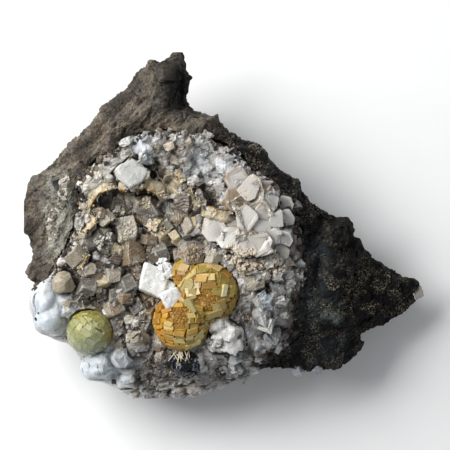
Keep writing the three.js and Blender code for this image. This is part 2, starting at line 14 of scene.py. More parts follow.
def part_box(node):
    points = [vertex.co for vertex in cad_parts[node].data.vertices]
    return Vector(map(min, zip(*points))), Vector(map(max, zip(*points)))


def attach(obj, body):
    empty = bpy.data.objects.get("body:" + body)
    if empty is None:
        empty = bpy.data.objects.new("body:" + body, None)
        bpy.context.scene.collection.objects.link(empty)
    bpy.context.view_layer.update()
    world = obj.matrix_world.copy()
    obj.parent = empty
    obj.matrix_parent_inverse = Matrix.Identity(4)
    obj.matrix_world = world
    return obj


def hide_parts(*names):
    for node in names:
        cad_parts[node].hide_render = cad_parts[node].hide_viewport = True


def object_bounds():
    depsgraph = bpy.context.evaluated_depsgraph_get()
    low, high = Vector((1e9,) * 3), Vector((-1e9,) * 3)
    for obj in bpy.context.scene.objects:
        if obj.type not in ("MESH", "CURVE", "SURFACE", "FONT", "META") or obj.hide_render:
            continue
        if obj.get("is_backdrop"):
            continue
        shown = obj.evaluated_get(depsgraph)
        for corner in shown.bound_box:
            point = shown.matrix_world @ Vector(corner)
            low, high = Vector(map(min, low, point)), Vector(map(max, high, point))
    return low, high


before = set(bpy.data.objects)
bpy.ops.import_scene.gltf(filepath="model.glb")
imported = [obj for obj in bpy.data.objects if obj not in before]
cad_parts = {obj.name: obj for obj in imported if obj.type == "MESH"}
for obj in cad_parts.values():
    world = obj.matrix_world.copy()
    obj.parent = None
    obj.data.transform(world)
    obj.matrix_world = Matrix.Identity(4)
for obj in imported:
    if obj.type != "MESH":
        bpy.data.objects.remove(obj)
CAD_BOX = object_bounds()

bl_info = {
    "name": "Prehnite specimen",
    "version": (1, 0, 0),
    "blender": (4, 5, 0),
    "location": "3D View > Sidebar > Specimen",
    "description": "Builds the visible surfaces of a prehnite and calcite specimen on basalt",
    "category": "Add Mesh",
}

MM = 0.001
BODY = "root"

# Farther off, in sizes, than the middle of any grain.
FARTHEST = 9.0

# The places below are in millimetres from the middle of the specimen's drawing. The solids
# are centred on their box instead, which moves them by this much.
DRAWN_MIDDLE = (0.21, 0.30)

# How far each edge of a calcite rhomb leans from the axis through its top corner, in degrees.
RHOMB_LEAN = 63.8

# Tones of the calcite rhombs.
RHOMB_TONES = {
    "white": "#e9e8e2",
    "blue": "#c0cad1",
    "light": "#c9bea8",
    "cream": "#e2cda0",
    "beige": "#a48c6c",
    "grey": "#8a847b",
    "smoky": "#6c5c48",
    "dark": "#44392d",
}

# The larger rhombs of the lining: tone, place and width.
RHOMBS = [
    ("smoky", -37.3, 5.7, 7.5), ("light", -32.8, 9.3, 4.8), ("grey", -24.6, 4.8, 9.5),
    ("grey", -31.0, 2.7, 5.4), ("light", -40.4, 2.3, 5.4), ("light", -41.3, -2.2, 5.4),
    ("light", -33.4, -2.5, 10.2), ("cream", -22.5, -3.6, 8.2), ("grey", -21.8, -8.6, 7.5),
    ("beige", -31.9, -10.4, 9.5), ("light", -41.3, -8.6, 6.8), ("beige", -43.4, -13.4, 6.8),
    ("beige", -44.0, -16.8, 5.4), ("beige", -49.5, -17.4, 3.4), ("light", -38.2, -16.8, 5.4),
    ("grey", -34.3, -20.4, 8.8), ("beige", -31.0, -16.8, 4.8), ("grey", -31.3, -21.0, 4.1),
    ("grey", -47.0, -21.0, 6.8), ("dark", -48.9, -25.3, 6.1), ("light", -53.4, -27.1, 4.4),
    ("beige", -37.6, -28.0, 7.5), ("dark", -29.4, -28.0, 5.8), ("dark", -41.0, -24.0, 6.1),
    ("beige", -11.2, -9.2, 8.5), ("beige", -11.3, -0.4, 5.8), ("cream", -17.0, -0.4, 4.8),
    ("smoky", -14.9, 7.8, 7.5), ("white", -48.6, 1.1, 6.1), ("beige", -49.5, -5.2, 4.4),
    ("light", -50.1, -10.4, 6.8), ("beige", -47.0, 6.3, 4.4), ("grey", -13.7, -4.0, 4.8),
    ("cream", -25.2, -26.4, 3.7), ("beige", -25.9, -29.8, 4.8), ("grey", -27.9, -34.2, 6.1),
    ("light", -29.6, -38.7, 8.2), ("beige", -21.1, 11.3, 5.4), ("grey", -18.1, 3.8, 5.4),
    ("grey", -27.3, -1.6, 4.8), ("grey", -36.4, -6.0, 4.8), ("light", -26.2, -12.5, 4.4),
    ("grey", -6.5, -4.3, 5.4), ("light", -3.5, -0.2, 5.4), ("grey", -1.1, -2.3, 4.8),
    ("beige", -16.0, -6.0, 4.4), ("grey", -18.8, -10.1, 4.4), ("light", -8.6, -12.5, 4.8),
    ("grey", -40.5, -31.2, 5.4), ("beige", -35.8, -32.9, 5.4), ("light", -32.0, -31.5, 4.8),
    ("grey", -38.5, -37.3, 5.4), ("light", -35.1, -40.7, 5.4), ("blue", -34.6, -44.6, 6.0),
    ("grey", -25.6, -43.1, 4.8), ("beige", -22.2, -40.7, 4.8), ("dark", -26.9, -51.2, 3.4),
    ("dark", -30.0, -49.5, 3.1), ("dark", -24.2, -52.6, 3.1), ("grey", -20.5, -45.1, 4.8),
    ("beige", 7.4, -14.5, 5.4), ("light", 10.1, -19.3, 7.6), ("grey", 6.9, -22.3, 5.4),
    ("blue", 14.2, -25.7, 5.6), ("white", 9.1, -12.5, 4.4), ("white", 15.2, -12.5, 4.2),
    ("beige", 22.7, -5.0, 3.6), ("beige", 24.1, -12.5, 3.4), ("white", 20.7, -16.9, 4.2),
    ("beige", 7.1, -39.0, 3.6), ("beige", 7.1, -31.5, 3.8), ("blue", 5.0, -43.1, 3.4),
    ("white", -36.9, 21.4, 4.2), ("light", -32.6, 24.6, 4.4), ("white", -27.0, 24.0, 4.0),
    ("white", -24.8, 20.0, 3.4), ("cream", -38.6, 17.4, 3.8), ("light", -36.6, 13.9, 3.4),
    ("blue", 12.4, -25.9, 6.8), ("blue", 13.0, -31.9, 5.6), ("blue", 16.4, -36.6, 5.6),
    ("white", 18.3, -25.2, 4.4), ("white", 17.4, -16.5, 4.4), ("white", 21.7, -19.5, 3.6),
    ("blue", 24.0, -12.8, 3.4), ("light", 10.3, -17.8, 5.4), ("cream", 12.4, -13.8, 4.2),
    ("grey", 2.9, -13.8, 5.0), ("smoky", 7.6, -21.9, 4.0), ("blue", 3.6, -44.8, 4.6),
    ("blue", 0.6, -48.4, 4.4), ("white", 16.9, -41.4, 4.4), ("white", 19.8, -30.4, 3.8),
    ("blue", -41.0, -48.0, 4.2), ("smoky", -24.6, -47.0, 4.8), ("smoky", -19.4, -49.4, 4.4),
    ("dark", -27.6, -50.0, 3.8), ("beige", -21.6, -43.6, 4.2), ("dark", -15.6, -46.6, 3.4),
]

# The pale crystals of the upper rim and of the lower right, in the same way.
RIM_RHOMBS = [
    ("white", -33.0, 28.0, 5.0), ("blue", -26.4, 29.4, 5.0), ("blue", -26.9, 23.4, 6.0),
    ("light", -23.0, 26.4, 4.2), ("cream", -18.8, 27.3, 5.0), ("light", -16.7, 22.8, 4.2),
    ("blue", -13.0, 19.6, 4.6), ("blue", -10.0, 18.4, 5.6), ("blue", -8.4, 24.0, 5.6),
    ("light", -11.6, 28.6, 4.6), ("white", -5.0, 20.6, 4.6), ("white", -3.4, 25.4, 5.0),
    ("blue", 1.4, 22.6, 5.0), ("light", 9.8, -17.9, 5.0), ("grey", 7.8, -21.3, 4.4),
    ("white", 18.0, -16.6, 4.8), ("blue", 24.6, -13.2, 4.6), ("white", 18.6, -25.6, 5.8),
    ("blue", 13.2, -27.4, 5.4), ("white", 13.4, -33.4, 6.2), ("blue", 15.6, -38.2, 6.0),
    ("blue", 3.0, -47.2, 6.4), ("blue", 9.4, -47.8, 5.4), ("light", 21.0, -12.4, 4.4),
]

# Stains, painted shadows and clean patches of the lining: place, reach each way, colour, strength,
# how smooth the calcite is there and how many millimetres it sinks.
LINING_PATCHES = [
    {"at": (-27, -9), "reach": (23, 25), "colour": "#6e6357", "share": 0.9},
    # Painted shadow below the ledges, over the upper part of the hollow.
    {"at": (-25, 3), "reach": (17, 7), "colour": "#44392c", "share": 0.7},
    {"at": (-43, 16), "reach": (8, 8), "colour": "#e6dccb", "share": 0.7, "smooth": 0.6},
    {"at": (-29, 28), "reach": (6, 4), "colour": "#c3cdd6", "share": 0.7, "smooth": 0.7},
    {"at": (-7, 22), "reach": (6, 5), "colour": "#b4bec8", "share": 0.7, "smooth": 0.7},
    {"at": (4, 19), "reach": (5, 5), "colour": "#cdd2d6", "share": 0.6, "smooth": 0.6},
    # The next two are painted shadow in brown under the ledges, where the lining also sinks.
    {"at": (-41.0, 8.4), "reach": (5.5, 3.2), "colour": "#33261a", "share": 0.9, "deep": 2.6},
    {"at": (-25.5, 8.6), "reach": (4, 2.6), "colour": "#4a3520", "share": 0.85, "deep": 2.2},
    {"at": (-23.6, 17.6), "reach": (4, 4.2), "colour": "#6b4f2c", "share": 0.85, "deep": 1.8},
    {"at": (-19.4, 15.2), "reach": (3, 2.4), "colour": "#c9b88e", "share": 0.7, "deep": 1.2},
    {"at": (-7.0, 10.6), "reach": (4.4, 3.8), "colour": "#5b4a33", "share": 0.8, "deep": 2.2},
    {"at": (-48.0, -0.6), "reach": (3, 2.2), "colour": "#4a3722", "share": 0.8, "deep": 1.6},
    {"at": (-17, 25), "reach": (4.6, 3.4), "colour": "#5c4a36", "share": 0.75, "deep": 0.8},
    {"at": (-38, 26), "reach": (4, 4), "colour": "#5f4f3f", "share": 0.75},
    {"at": (11.5, 16.4), "reach": (8, 7), "colour": "#857b70", "share": 0.7},
    # The next two are brown stain and painted shade on the lining's right flank, which faces away
    # from the light.
    {"at": (23.5, 4), "reach": (5, 11), "colour": "#38291f", "share": 0.97},
    {"at": (25, -9), "reach": (4.6, 7), "colour": "#433022", "share": 0.97},
    {"at": (23.5, -27), "reach": (3.6, 13), "colour": "#5c4a3c", "share": 0.9},
    {"at": (5.6, -34), "reach": (2.6, 8), "colour": "#4f4135", "share": 0.9},
    {"at": (20.5, -38), "reach": (3, 6), "colour": "#4f4034", "share": 0.8},
    {"at": (-12, 26), "reach": (15, 5), "colour": "#7d776e", "share": 0.6},
    {"at": (-60, -29), "reach": (10, 12), "colour": "#c0c8cf", "share": 1.0, "smooth": 1.0},
    {"at": (-42, -49), "reach": (13, 8), "colour": "#ccd4db", "share": 1.0, "smooth": 1.0},
    {"at": (-24, -48), "reach": (9, 7.5), "colour": "#352c23", "share": 0.95},
    {"at": (13, -34), "reach": (8, 12), "colour": "#b0b1b4", "share": 0.8, "smooth": 0.7},
    {"at": (17.5, -10.5), "reach": (6, 6), "colour": "#dcd8d2", "share": 0.6, "smooth": 0.4},
    {"at": (-3, -50), "reach": (12, 5), "colour": "#6e6c70", "share": 0.8, "smooth": 0.7},
    {"at": (-31.4, 19), "reach": (8, 7), "colour": "#e6e2da", "share": 0.7, "smooth": 0.5},
    {"at": (13.9, -22.4), "reach": (2.6, 1.9), "colour": "#5a4433", "share": 0.9, "deep": 1.0},
    {"at": (20.4, -35.2), "reach": (1.9, 2.4), "colour": "#56432f", "share": 0.9, "deep": 0.8},
    {"at": (8, -43.4), "reach": (4, 1.4), "colour": "#4a4038", "share": 0.85, "deep": 0.6},
]

# The patches where the calcite is one smooth mass, with no crystals on it.
MASSIVE_PATCHES = [patch for patch in LINING_PATCHES if patch.get("smooth", 0) > 0.9]

# The hollow that the larger crystals line.
HOLLOW = {"at": (-27, -9), "reach": (24, 24)}

# Rounded swellings of the lining: place, reach along x and y, and height.
SWELLINGS = [
    ((-43.6, -48.5), (5.8, 4.8), 2.6), ((-35.8, -44.8), (3.4, 3.0), 2.0),
    ((-33.4, -53.6), (3.8, 3.4), 1.8), ((-61.9, -24.0), (4.4, 5.8), 1.8),
    ((-58.7, -32.9), (5.2, 4.8), 2.2), ((12.5, -31.5), (3.6, 4.2), 1.8),
    ((16.9, -39.0), (3.8, 4.6), 1.7), ((14.6, -46.5), (4.4, 3.2), 1.6),
    ((8.4, -50.9), (4.8, 2.6), 1.4), ((19.7, -31.5), (3.2, 4.2), 1.4),
    ((10.0, -24.0), (3.0, 2.6), 1.2), ((17.5, -22.0), (3.4, 3.2), 1.3),
    ((22.0, -6.0), (2.8, 3.6), 1.2), ((-52.0, 6.0), (2.4, 4.0), 1.0),
]

# Stains of the basalt, and painted shade on facets that face away from the light: place, reach each
# way, colour, strength and how thickly pale flecks lie on it.
BASALT_PATCHES = [
    # Painted shadow: the horn's right facet, turned away from the light.
    {"at": (-15.4, 46.8), "reach": (4.6, 10), "colour": "#040303", "share": 0.99, "flecks": 0.0},
    {"at": (-25, 46), "reach": (5, 10), "colour": "#403b34", "share": 0.7, "flecks": 0.2},
    {"at": (-17.5, 58), "reach": (4, 3), "colour": "#3a3632", "share": 0.6, "flecks": 0.6},
    {"at": (-23, 30.5), "reach": (17, 4.5), "colour": "#5f5240", "share": 0.55, "flecks": 0.8},
    # Nearly black rock, made darker as painted shade on the upper right band, which faces away from
    # the light.
    {"at": (9, 24), "reach": (18, 10), "colour": "#1b1918", "share": 0.8, "flecks": 1.0},
    {"at": (31, -19), "reach": (6, 17), "colour": "#3c4348", "share": 0.6, "flecks": 0.9},
    {"at": (37, -30), "reach": (3.4, 2.2), "colour": "#8e9a93", "share": 0.7, "flecks": 0.2},
    # Nearly black rock of the right wing, with painted shade as it faces away from the light.
    {"at": (47, -22), "reach": (15, 11), "colour": "#060504", "share": 0.93, "flecks": 0.8},
    {"at": (30, -42), "reach": (13, 6), "colour": "#23282c", "share": 0.6, "flecks": 0.7},
    # Nearly black rock just right of the lining, darkened also as painted shadow of the lining's
    # mound.
    {"at": (29, 8), "reach": (7, 14), "colour": "#121111", "share": 0.7, "flecks": 0.7},
    {"at": (-56, 2), "reach": (5, 17), "colour": "#94948b", "share": 0.65, "flecks": 0.3},
]

# Thin ledges of ochre mineral at the hollow's upper rim: the line of each, how far it rises
# over the lining, how wide it is and how much of it is cream.
LEDGES = [
    {"line": [(-46.0, 3.6), (-45.6, 6.4), (-44.6, 8.8), (-42.3, 11.2), (-39, 12.4),
              (-36.4, 12.7)], "high_side": 1, "rise": 0.5, "width": 1.0, "cream": 0.9},
    {"line": [(-36.0, 12.4), (-33, 11.6), (-30, 11.4), (-27.8, 12.8), (-25.6, 12.0),
              (-23.2, 10.8), (-20.8, 9.8), (-18.4, 9.8), (-16.4, 11.4), (-14.4, 13.4)],
     "high_side": 1, "rise": 0.7, "width": 1.1, "cream": 0.5},
    {"line": [(-17.0, 18.0), (-15.4, 16.4), (-15.0, 14.4)], "high_side": 1, "rise": 0.8,
     "width": 0.7, "cream": 1.0},
    {"line": [(-11.6, 13.0), (-10.8, 11.0), (-9.4, 8.8), (-7.8, 7.2), (-4.6, 5.6),
              (-1.2, 4.2), (3, 4.3), (5.2, 6.4), (5.8, 9.4)], "high_side": -1, "rise": 0.7,
     "width": 1.0, "cream": 1.1},
    {"line": [(-43.6, 2.4), (-44.2, 0.6), (-45.4, -1.0), (-47.4, -2.0), (-49.6, -2.6)],
     "high_side": -1, "rise": 0.5, "width": 0.8, "cream": 0.6},
    {"line": [(-47.0, -10.4), (-47.3, -12.2), (-48.0, -13.8), (-49.8, -15)],
     "high_side": -1, "rise": 0.5, "width": 0.7, "cream": 0.6},
]

# A ledge's section: how far each of its lines stands out, in widths, and how far it drops.
LEDGE_PROFILE = [
    (-3.6, 1.5), (-2.4, 0.8), (-1.3, 0.4), (-0.4, 0.15), (0.1, 0.0), (0.35, 0.4), (0.6, 1.4),
    (0.9, 2.7), (1.0, 4.0),
]

# How many times a ledge's top line is evened out along it.
LEVELLING = 10

# The lobes of yellow prehnite: centre, radius, the crumbled patch on each, the width of its
# blocks, how far they tip and stand unevenly, and the plates that stand out: place, width,
# depth, heading, lift and tone.
LOBES = [
    {"centre": (-5.8, -22.7, 34.6), "radius": 10.0, "sugar": (-5.5, -23.9, 4.3), "brick": 4.6,
     "tip": 0.06, "uneven": 0.3,
     "plates": [
         (-8.2, -15.4, 4.6, 2.8, 6, 0.1, "#a5904f"), (-3.7, -14.5, 5.0, 2.9, -26, 0.7, "#cdb078"),
         (-8.0, -18.6, 3.9, 2.4, -6, 0.6, "#c49a40"), (-3.6, -18.2, 4.4, 3.4, 4, 0.1, "#ab954d"),
         (0.4, -16.4, 3.4, 3.0, -38, 0.2, "#c28d34"), (2.2, -19.2, 2.6, 3.8, -20, 0.1, "#b29143"),
         (-0.5, -22.2, 1.9, 4.3, -4, 0.8, "#d9d4a4"), (2.0, -22.4, 2.4, 4.3, -6, 0.5, "#c9b458"),
         (2.2, -26.8, 3.0, 3.8, 8, 0.3, "#b2984a"), (-1.2, -27.0, 2.8, 4.0, 10, 0.2, "#baa55b"),
         (-3.4, -30.0, 5.4, 3.0, 22, 0.3, "#b19d56"), (-9.0, -29.8, 4.0, 3.6, -24, 0.2, "#a1904d"),
         (-11.6, -27.4, 4.2, 5.4, 34, 0.6, "#b2a674"), (-10.8, -23.4, 3.0, 3.6, 12, 0.3, "#a18e52"),
         (-12.6, -21.0, 4.4, 4.4, -20, 0.3, "#ab9964"), (-9.8, -20.8, 3.0, 2.6, 16, 0.2, "#9d8849"),
         (-6.2, -32.2, 5.0, 3.4, 4, 0.1, "#a89752"),
     ]},
    {"centre": (-14.6, -32.6, 33.4), "radius": 9.2, "sugar": (-14.6, -30.6, 3.6), "brick": 3.0,
     "tip": 0.11, "uneven": 0.7,
     "plates": [
         (-11.0, -40.2, 5.6, 3.4, 16, 0.4, "#dcc474"), (-15.4, -41.0, 4.6, 2.6, -8, 0.2, "#d0a746"),
         (-8.6, -37.6, 3.4, 4.2, 24, 0.2, "#cbb760"), (-19.0, -33.4, 3.2, 1.7, -14, 0.6, "#d2b56c"),
         (-11.2, -35.8, 3.6, 1.9, 12, 0.6, "#c59f4a"), (-15.6, -36.6, 3.8, 1.8, -6, 0.7, "#cda54e"),
     ]},
    {"centre": (-13.1, -16.3, 34.6), "radius": 4.7, "sugar": None, "brick": 3.2,
     "tip": 0.08, "uneven": 0.4,
     "plates": [(-12.6, -18.2, 3.8, 3.4, 10, 0.1, "#a18e4f"),
                (-14.2, -14.6, 3.4, 3.0, -20, 0.1, "#af8e3b")]},
]

# Rows of prehnite blocks stop this near a ball's pole, in radians.
POLE = 1.45

# Pale plates of calcite at the upper right: place, lift, tilt, heading and tone.
PALE_PLATES = [
    (8.4, 12.4, 0.2, 14, 200, "#b9b0a5"), (13.0, 10.6, -1.4, 24, 80, "#a1968b"),
    (4.4, 15.8, -1.4, 22, 30, "#beb3a4"), (7.6, 2.6, 0.8, 12, 300, "#d3c9bb"),
    (12.2, -0.8, -0.2, 20, 120, "#c0b3a2"), (17.4, 2.6, -0.8, 22, 40, "#cfd1d0"),
    (17.0, -3.0, -0.4, 26, 330, "#d9d6d1"), (19.8, 7.0, -1.6, 24, 20, "#bfc3c5"),
    (1.6, -4.4, 0.4, 16, 225, "#c4b7a4"), (-2.6, -1.2, -1.0, 22, 250, "#a6998c"),
    (6.6, -6.8, 0.0, 18, 180, "#c6baaa"), (12.6, -6.0, 0.9, 18, 280, "#a3978a"),
    (18.6, -8.4, -1.4, 24, 10, "#a79685"), (15.4, -11.4, -1.4, 22, 340, "#9b8977"),
    (1.2, 2.2, -1.2, 24, 150, "#9a928b"), (13.4, 5.0, -1.0, 22, 60, "#a69c92"),
    (3.6, 8.4, -1.4, 24, 120, "#b3a692"), (20.4, 2.6, -1.2, 26, 20, "#c3cad1"),
    (20.0, -3.6, -1.2, 26, 340, "#b9bfc5"), (14.8, 7.8, -1.6, 30, 70, "#c8ccd0"),
]

# Where sugary crumbs lie on the larger crystals: place, reach, count, largest and tone.
FROST = [
    ((-23.0, -1.2), 3.0, 60, 1.3, "#dccdb0"), ((-36.0, 2.6), 2.6, 40, 1.0, "#cfc8ba"),
    ((-33.8, -0.8), 2.6, 40, 1.0, "#c9c0b0"), ((-26.4, 7.6), 2.2, 30, 0.9, "#cbbd9e"),
    ((-34.6, -5.4), 2.4, 30, 1.0, "#beb49f"), ((-41.0, -6.0), 2.6, 40, 1.1, "#d5cfc4"),
    ((-10.8, -9.4), 3.0, 50, 0.9, "#b7a48c"), ((-30.6, -14.6), 2.4, 26, 0.9, "#b5aa98"),
    ((-19.6, -15.8), 2.6, 46, 2.3, "#f4f4f2"), ((-21.4, -13.6), 1.8, 24, 1.9, "#f4f4f2"),
    ((-17.0, -27.6), 2.4, 24, 1.4, "#f2f1ec"), ((5.6, -31.0), 2.4, 14, 0.9, "#c9c0b4"),
    ((-3.8, -40.0), 2.4, 24, 1.2, "#e9e6e0"), ((7.4, -11.8), 4.0, 60, 1.4, "#dccbb4"),
    ((16.0, -14.0), 4.0, 60, 1.4, "#d9cdbd"), ((3.0, -9.8), 3.4, 60, 1.2, "#e6d9c4"),
]

# Crumbs tried for between the pale plates, and at each point of a ledge.
SEAM_CRUMBS = 240
LEDGE_CRUMBS = 9

# The white vein that crosses the basalt at the left, and the crumbs along it.
VEIN_LINE = [(-53.6, 15.6), (-55.2, 8.3), (-58.4, 2.5), (-58.8, -4.3)]
VEIN_CRUMBS = 170

# The middle of the lining's outline, and how far its edge is looked for from there.
LINING_MIDDLE = (-18.4, -13.6)
LINING_REACH = 60

# The needles on the dark ball.
NEEDLES = 13

# The top of the bed under the pale plates, about which they tilt, and the highest they stand.
PLATE_LEVEL = 38
PLATE_TOP = 45.5


# The stage, in metres: floor, lights by place, size and power, and the camera, which sees so
# much at the height it looks at. The sensor's width is in millimetres.
FLOOR_SIZE = 4
FLOOR_LEVEL = -0.0002
LIGHTS = [("key", (-0.46, 0.28, 0.48), 0.52, 7.4), ("fill", (0.9, -0.6, 1.3), 1.6, 2)]
LOOKED_AT = 0.02
CAMERA_HEIGHT = 3.0
PICTURE_WIDTH = 0.153
SENSOR = 36


def linear(hex_value):
    """An sRGB hex value as linear red, green, blue and alpha."""
    channels = [int(hex_value[start:start + 2], 16) / 255 for start in (1, 3, 5)]
    curve = [c / 12.92 if c <= 0.04045 else ((c + 0.055) / 1.055) ** 2.4 for c in channels]
    return (*curve, 1.0)


def spot(x, y):
    """A place of the drawing as x and y of the frame."""
    return (x + DRAWN_MIDDLE[0]) * MM, (y + DRAWN_MIDDLE[1]) * MM


# Sizes and colours that a user would change.

def length(name, description, default):
    return FloatProperty(name=name, description=description, default=default * MM,
                         unit="LENGTH", subtype="DISTANCE", precision=5)


def tint(name, description, hex_value):
    return FloatVectorProperty(name=name, description=description, subtype="COLOR", size=4,
                               min=0, max=1, default=linear(hex_value))


class SpecimenSizes(bpy.types.PropertyGroup):
    rock_net: length("Rock net", "Spacing of the net that carries the rock's relief", 0.65)
    rock_break: length("Rock break", "Width of the flat breaks of the rock", 9)
    lining_net: length("Lining net", "Spacing of the net that carries the lining's relief", 0.52)
    lining_lump: length("Lining lump", "Width of the crystals that the lining is made of", 4.6)
    brick_gap: length("Brick gap", "Gap between the blocks of yellow prehnite", 0.22)
    ball_facet: length("Ball facet", "Width of a facet on the green ball", 2.7)
    medium_rhombs: IntProperty(name="Medium rhombs", default=330, min=0,
                               description="Rhombs that fill in between the larger ones")
    pale_lumps: IntProperty(name="Pale lumps", default=170, min=0,
                            description="Worn crystals outside the hollow")
    small_rhombs: IntProperty(name="Small rhombs", default=320, min=0,
                              description="Small rhombs over the whole lining")
    sugar_grains: IntProperty(name="Sugar grains", default=380, min=0,
                              description="Fine grains of white calcite between the crystals")
    margin_crumbs: IntProperty(name="Margin crumbs", default=1000, min=0,
                               description="Crumbs where the lining meets the rock")


class SpecimenColours(bpy.types.PropertyGroup):
    rock_weathered: tint("Weathered rock", "Basalt with its brown skin", "#625a50")
    rock_fresh: tint("Fresh rock", "Basalt where it broke", "#0d0c0b")
    lining_white: tint("White lining", "Clean massive calcite", "#f1efec")
    lining_cream: tint("Cream lining", "Calcite with a little iron", "#cdbfac")
    # Brown for settled grime, and for painted shade in the low places.
    dirt: tint("Dirt", "What settles in the low places", "#33261a")
    yellow_prehnite: tint("Yellow prehnite", "Prehnite stained by iron", "#c8932b")
    olive_prehnite: tint("Olive prehnite", "Prehnite with little stain", "#a79344")
    groove: tint("Groove", "Stain between the blocks of prehnite", "#8a561a")
    green_prehnite: tint("Green prehnite", "The round ball's own colour", "#a09b4c")
    frost_white: tint("Frost white", "The sugary crumbs between the pale plates", "#e6e1d8")
    ochre: tint("Ochre", "The thin ledges", "#b98d3f")


# Meshes.

def cad_copy(node):
    """A merged copy of a CAD node's mesh."""
    shape = bmesh.new()
    shape.from_mesh(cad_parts[node].data)
    bmesh.ops.remove_doubles(shape, verts=shape.verts, dist=0.002 * MM)
    return shape


def mesh_from(shape, name):
    mesh = bpy.data.meshes.new(name)
    shape.to_mesh(mesh)
    shape.free()
    return mesh


def remeshed(shape, voxel):
    """The shape's skin as an even net of small quads, voxel apart."""
    mesh = mesh_from(shape, "even_net")
    holder = bpy.data.objects.new("even_net", mesh)
    bpy.context.scene.collection.objects.link(holder)
    net = holder.modifiers.new("net", "REMESH")
    net.mode = "VOXEL"
    net.voxel_size = voxel
    net.use_smooth_shade = False
    graph = bpy.context.evaluated_depsgraph_get()
    result = bpy.data.meshes.new_from_object(holder.evaluated_get(graph))
    bpy.data.objects.remove(holder)
    bpy.data.meshes.remove(mesh)
    return result


def rounded(mesh, turns):
    """Wears the edges of a net down by smoothing it over and over."""
    shape = bmesh.new()
    shape.from_mesh(mesh)
    bpy.data.meshes.remove(mesh)
    for _ in range(turns):
        bmesh.ops.smooth_vert(
            shape, verts=shape.verts, factor=0.5, use_axis_x=True, use_axis_y=True,
            use_axis_z=True,
        )
    return mesh_from(shape, "rounded")


def read_vectors(collection, attribute):
    values = np.zeros(len(collection) * 3, np.float32)
    collection.foreach_get(attribute, values)
    return values.reshape(-1, 3).astype(float)


def places_of(mesh):
    return read_vectors(mesh.vertices, "co")


def normals_of(mesh):
    return read_vectors(mesh.vertex_normals, "vector")


def in_box(places):
    """The places, none of them outside the box of the solids."""
    low, high = np.array(CAD_BOX[0]), np.array(CAD_BOX[1])
    return np.clip(places, low, high)


def move_out(mesh, distances):
    """Moves each vertex along its normal."""
    places = places_of(mesh)
    places += normals_of(mesh) * distances[:, None]
    mesh.vertices.foreach_set("co", in_box(places).astype(np.float32).ravel())
    mesh.update()


def hashed(cells, seed):
    """Three even random numbers from -1 to 1 for each whole-number cell."""
    mixed = (cells[..., 0] * 73856093) ^ (cells[..., 1] * 19349663) ^ (cells[..., 2] * 83492791)
    result = []
    for turn in range(3):
        value = (mixed + seed * 7919 + turn * 104729) & 0x7FFFFFFF
        value = (value ^ (value >> 13)) * 1274126177 & 0x7FFFFFFF
        value = (value ^ (value >> 16)) * 668265263 & 0x7FFFFFFF
        result.append((value >> 7 & 0xFFFFF) / 0x7FFFF - 1)
    return np.stack(result, -1)


def cells_round(places, size, seed):
    """The 27 cells round each place, size across: each cell, and how far the place lies from
    the cell's own middle, in sizes. The middles stray, so that no grid shows."""
    scaled = places / size
    home = np.floor(scaled).astype(np.int64)
    steps = (-1, 0, 1)
    for step in [(x, y, z) for x in steps for y in steps for z in steps]:
        cell = home + np.array(step)
        yield cell, scaled - (cell + 0.5 + 0.42 * hashed(cell, seed))


def grains(places, size, seed):
    """Splits space into grains about size across. Gives, for each place, where it lies in its
    grain, the grain's own random numbers, and how far its border is, all in sizes."""
    nearest = np.full(len(places), FARTHEST)
    second = np.full(len(places), FARTHEST)
    offset = np.zeros((len(places), 3))
    own = np.zeros((len(places), 3))
    for cell, away in cells_round(places, size, seed):
        distance = np.linalg.norm(away, axis=1)
        closer = distance < nearest
        second = np.where(closer, nearest, np.minimum(second, distance))
        offset[closer] = away[closer]
        own[closer] = hashed(cell[closer], seed + 31)
        nearest = np.where(closer, distance, nearest)
    return offset, own, second - nearest


def facets(places, size, tilt, seed):
    """Heights, in sizes, that cut a surface into flat tilted facets with sharp steps."""
    offset, own, _ = grains(places, size, seed)
    return (offset * own).sum(1) * tilt


def breaks(places, size, tilt, bow, seed):
    """Heights of a break: hollow facets about size wide that meet in sharp ridges. The same
    heights taken away instead of added are rounded lumps with sharp valleys between them."""
    lowest = np.full(len(places), FARTHEST)
    for cell, away in cells_round(places, size, seed):
        own = hashed(cell, seed + 31)
        height = (away * own).sum(1) * tilt + (away ** 2).sum(1) * bow + own[:, 0] * 0.08
        lowest = np.minimum(lowest, height)
    return (lowest - lowest.mean()) * size / MM


def clouds(places, size, octaves=4):
    """Soft fractal noise from about -1 to 1, its lumps about size across."""
    return np.array([noise.fractal(Vector(place) / size, 0.9, 2.1, octaves) for place in places])


def ragged(places, size, reach):
    """Two ways to stray at each place, up to reach millimetres, for outlines that wander."""
    return np.stack([clouds(places, size), clouds(places + 0.5, size)], -1) * reach


def store(mesh, name, values):
    """Keeps a tone, or a crystal's own coordinates, at each vertex for the materials to read."""
    kind, field = ("FLOAT_COLOR", "color") if name == "tone" else ("FLOAT_VECTOR", "vector")
    layer = mesh.attributes.get(name) or mesh.attributes.new(name, kind, "POINT")
    layer.data.foreach_set(field, np.asarray(values, np.float32).ravel())


def stored_tone(mesh):
    values = np.zeros(len(mesh.vertices) * 4, np.float32)
    mesh.attributes["tone"].data.foreach_get("color", values)
    return values.reshape(-1, 4).astype(float)


def blended(first, second, share):
    """Rows of colour from first to second by share."""
    share = np.clip(share, 0, 1)[:, None]
    return np.asarray(first) * (1 - share) + np.asarray(second) * share


def mixed(first, second, share):
    """One colour from first to second by share."""
    return blended(first, second, np.array([share]))[0]


def new_piece(name, mesh, material, slot, *nodes):
    """Makes a finished mesh a piece that rides on the specimen and stands for CAD nodes."""
    mesh.name = name
    mesh.materials.clear()
    mesh.materials.append(material)
    mesh.polygons.foreach_set("use_smooth", [False] * len(mesh.polygons))
    piece = bpy.data.objects.new(name, mesh)
    bpy.context.scene.collection.objects.link(piece)
    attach(piece, BODY)
    if nodes:
        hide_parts(*nodes)
    return piece


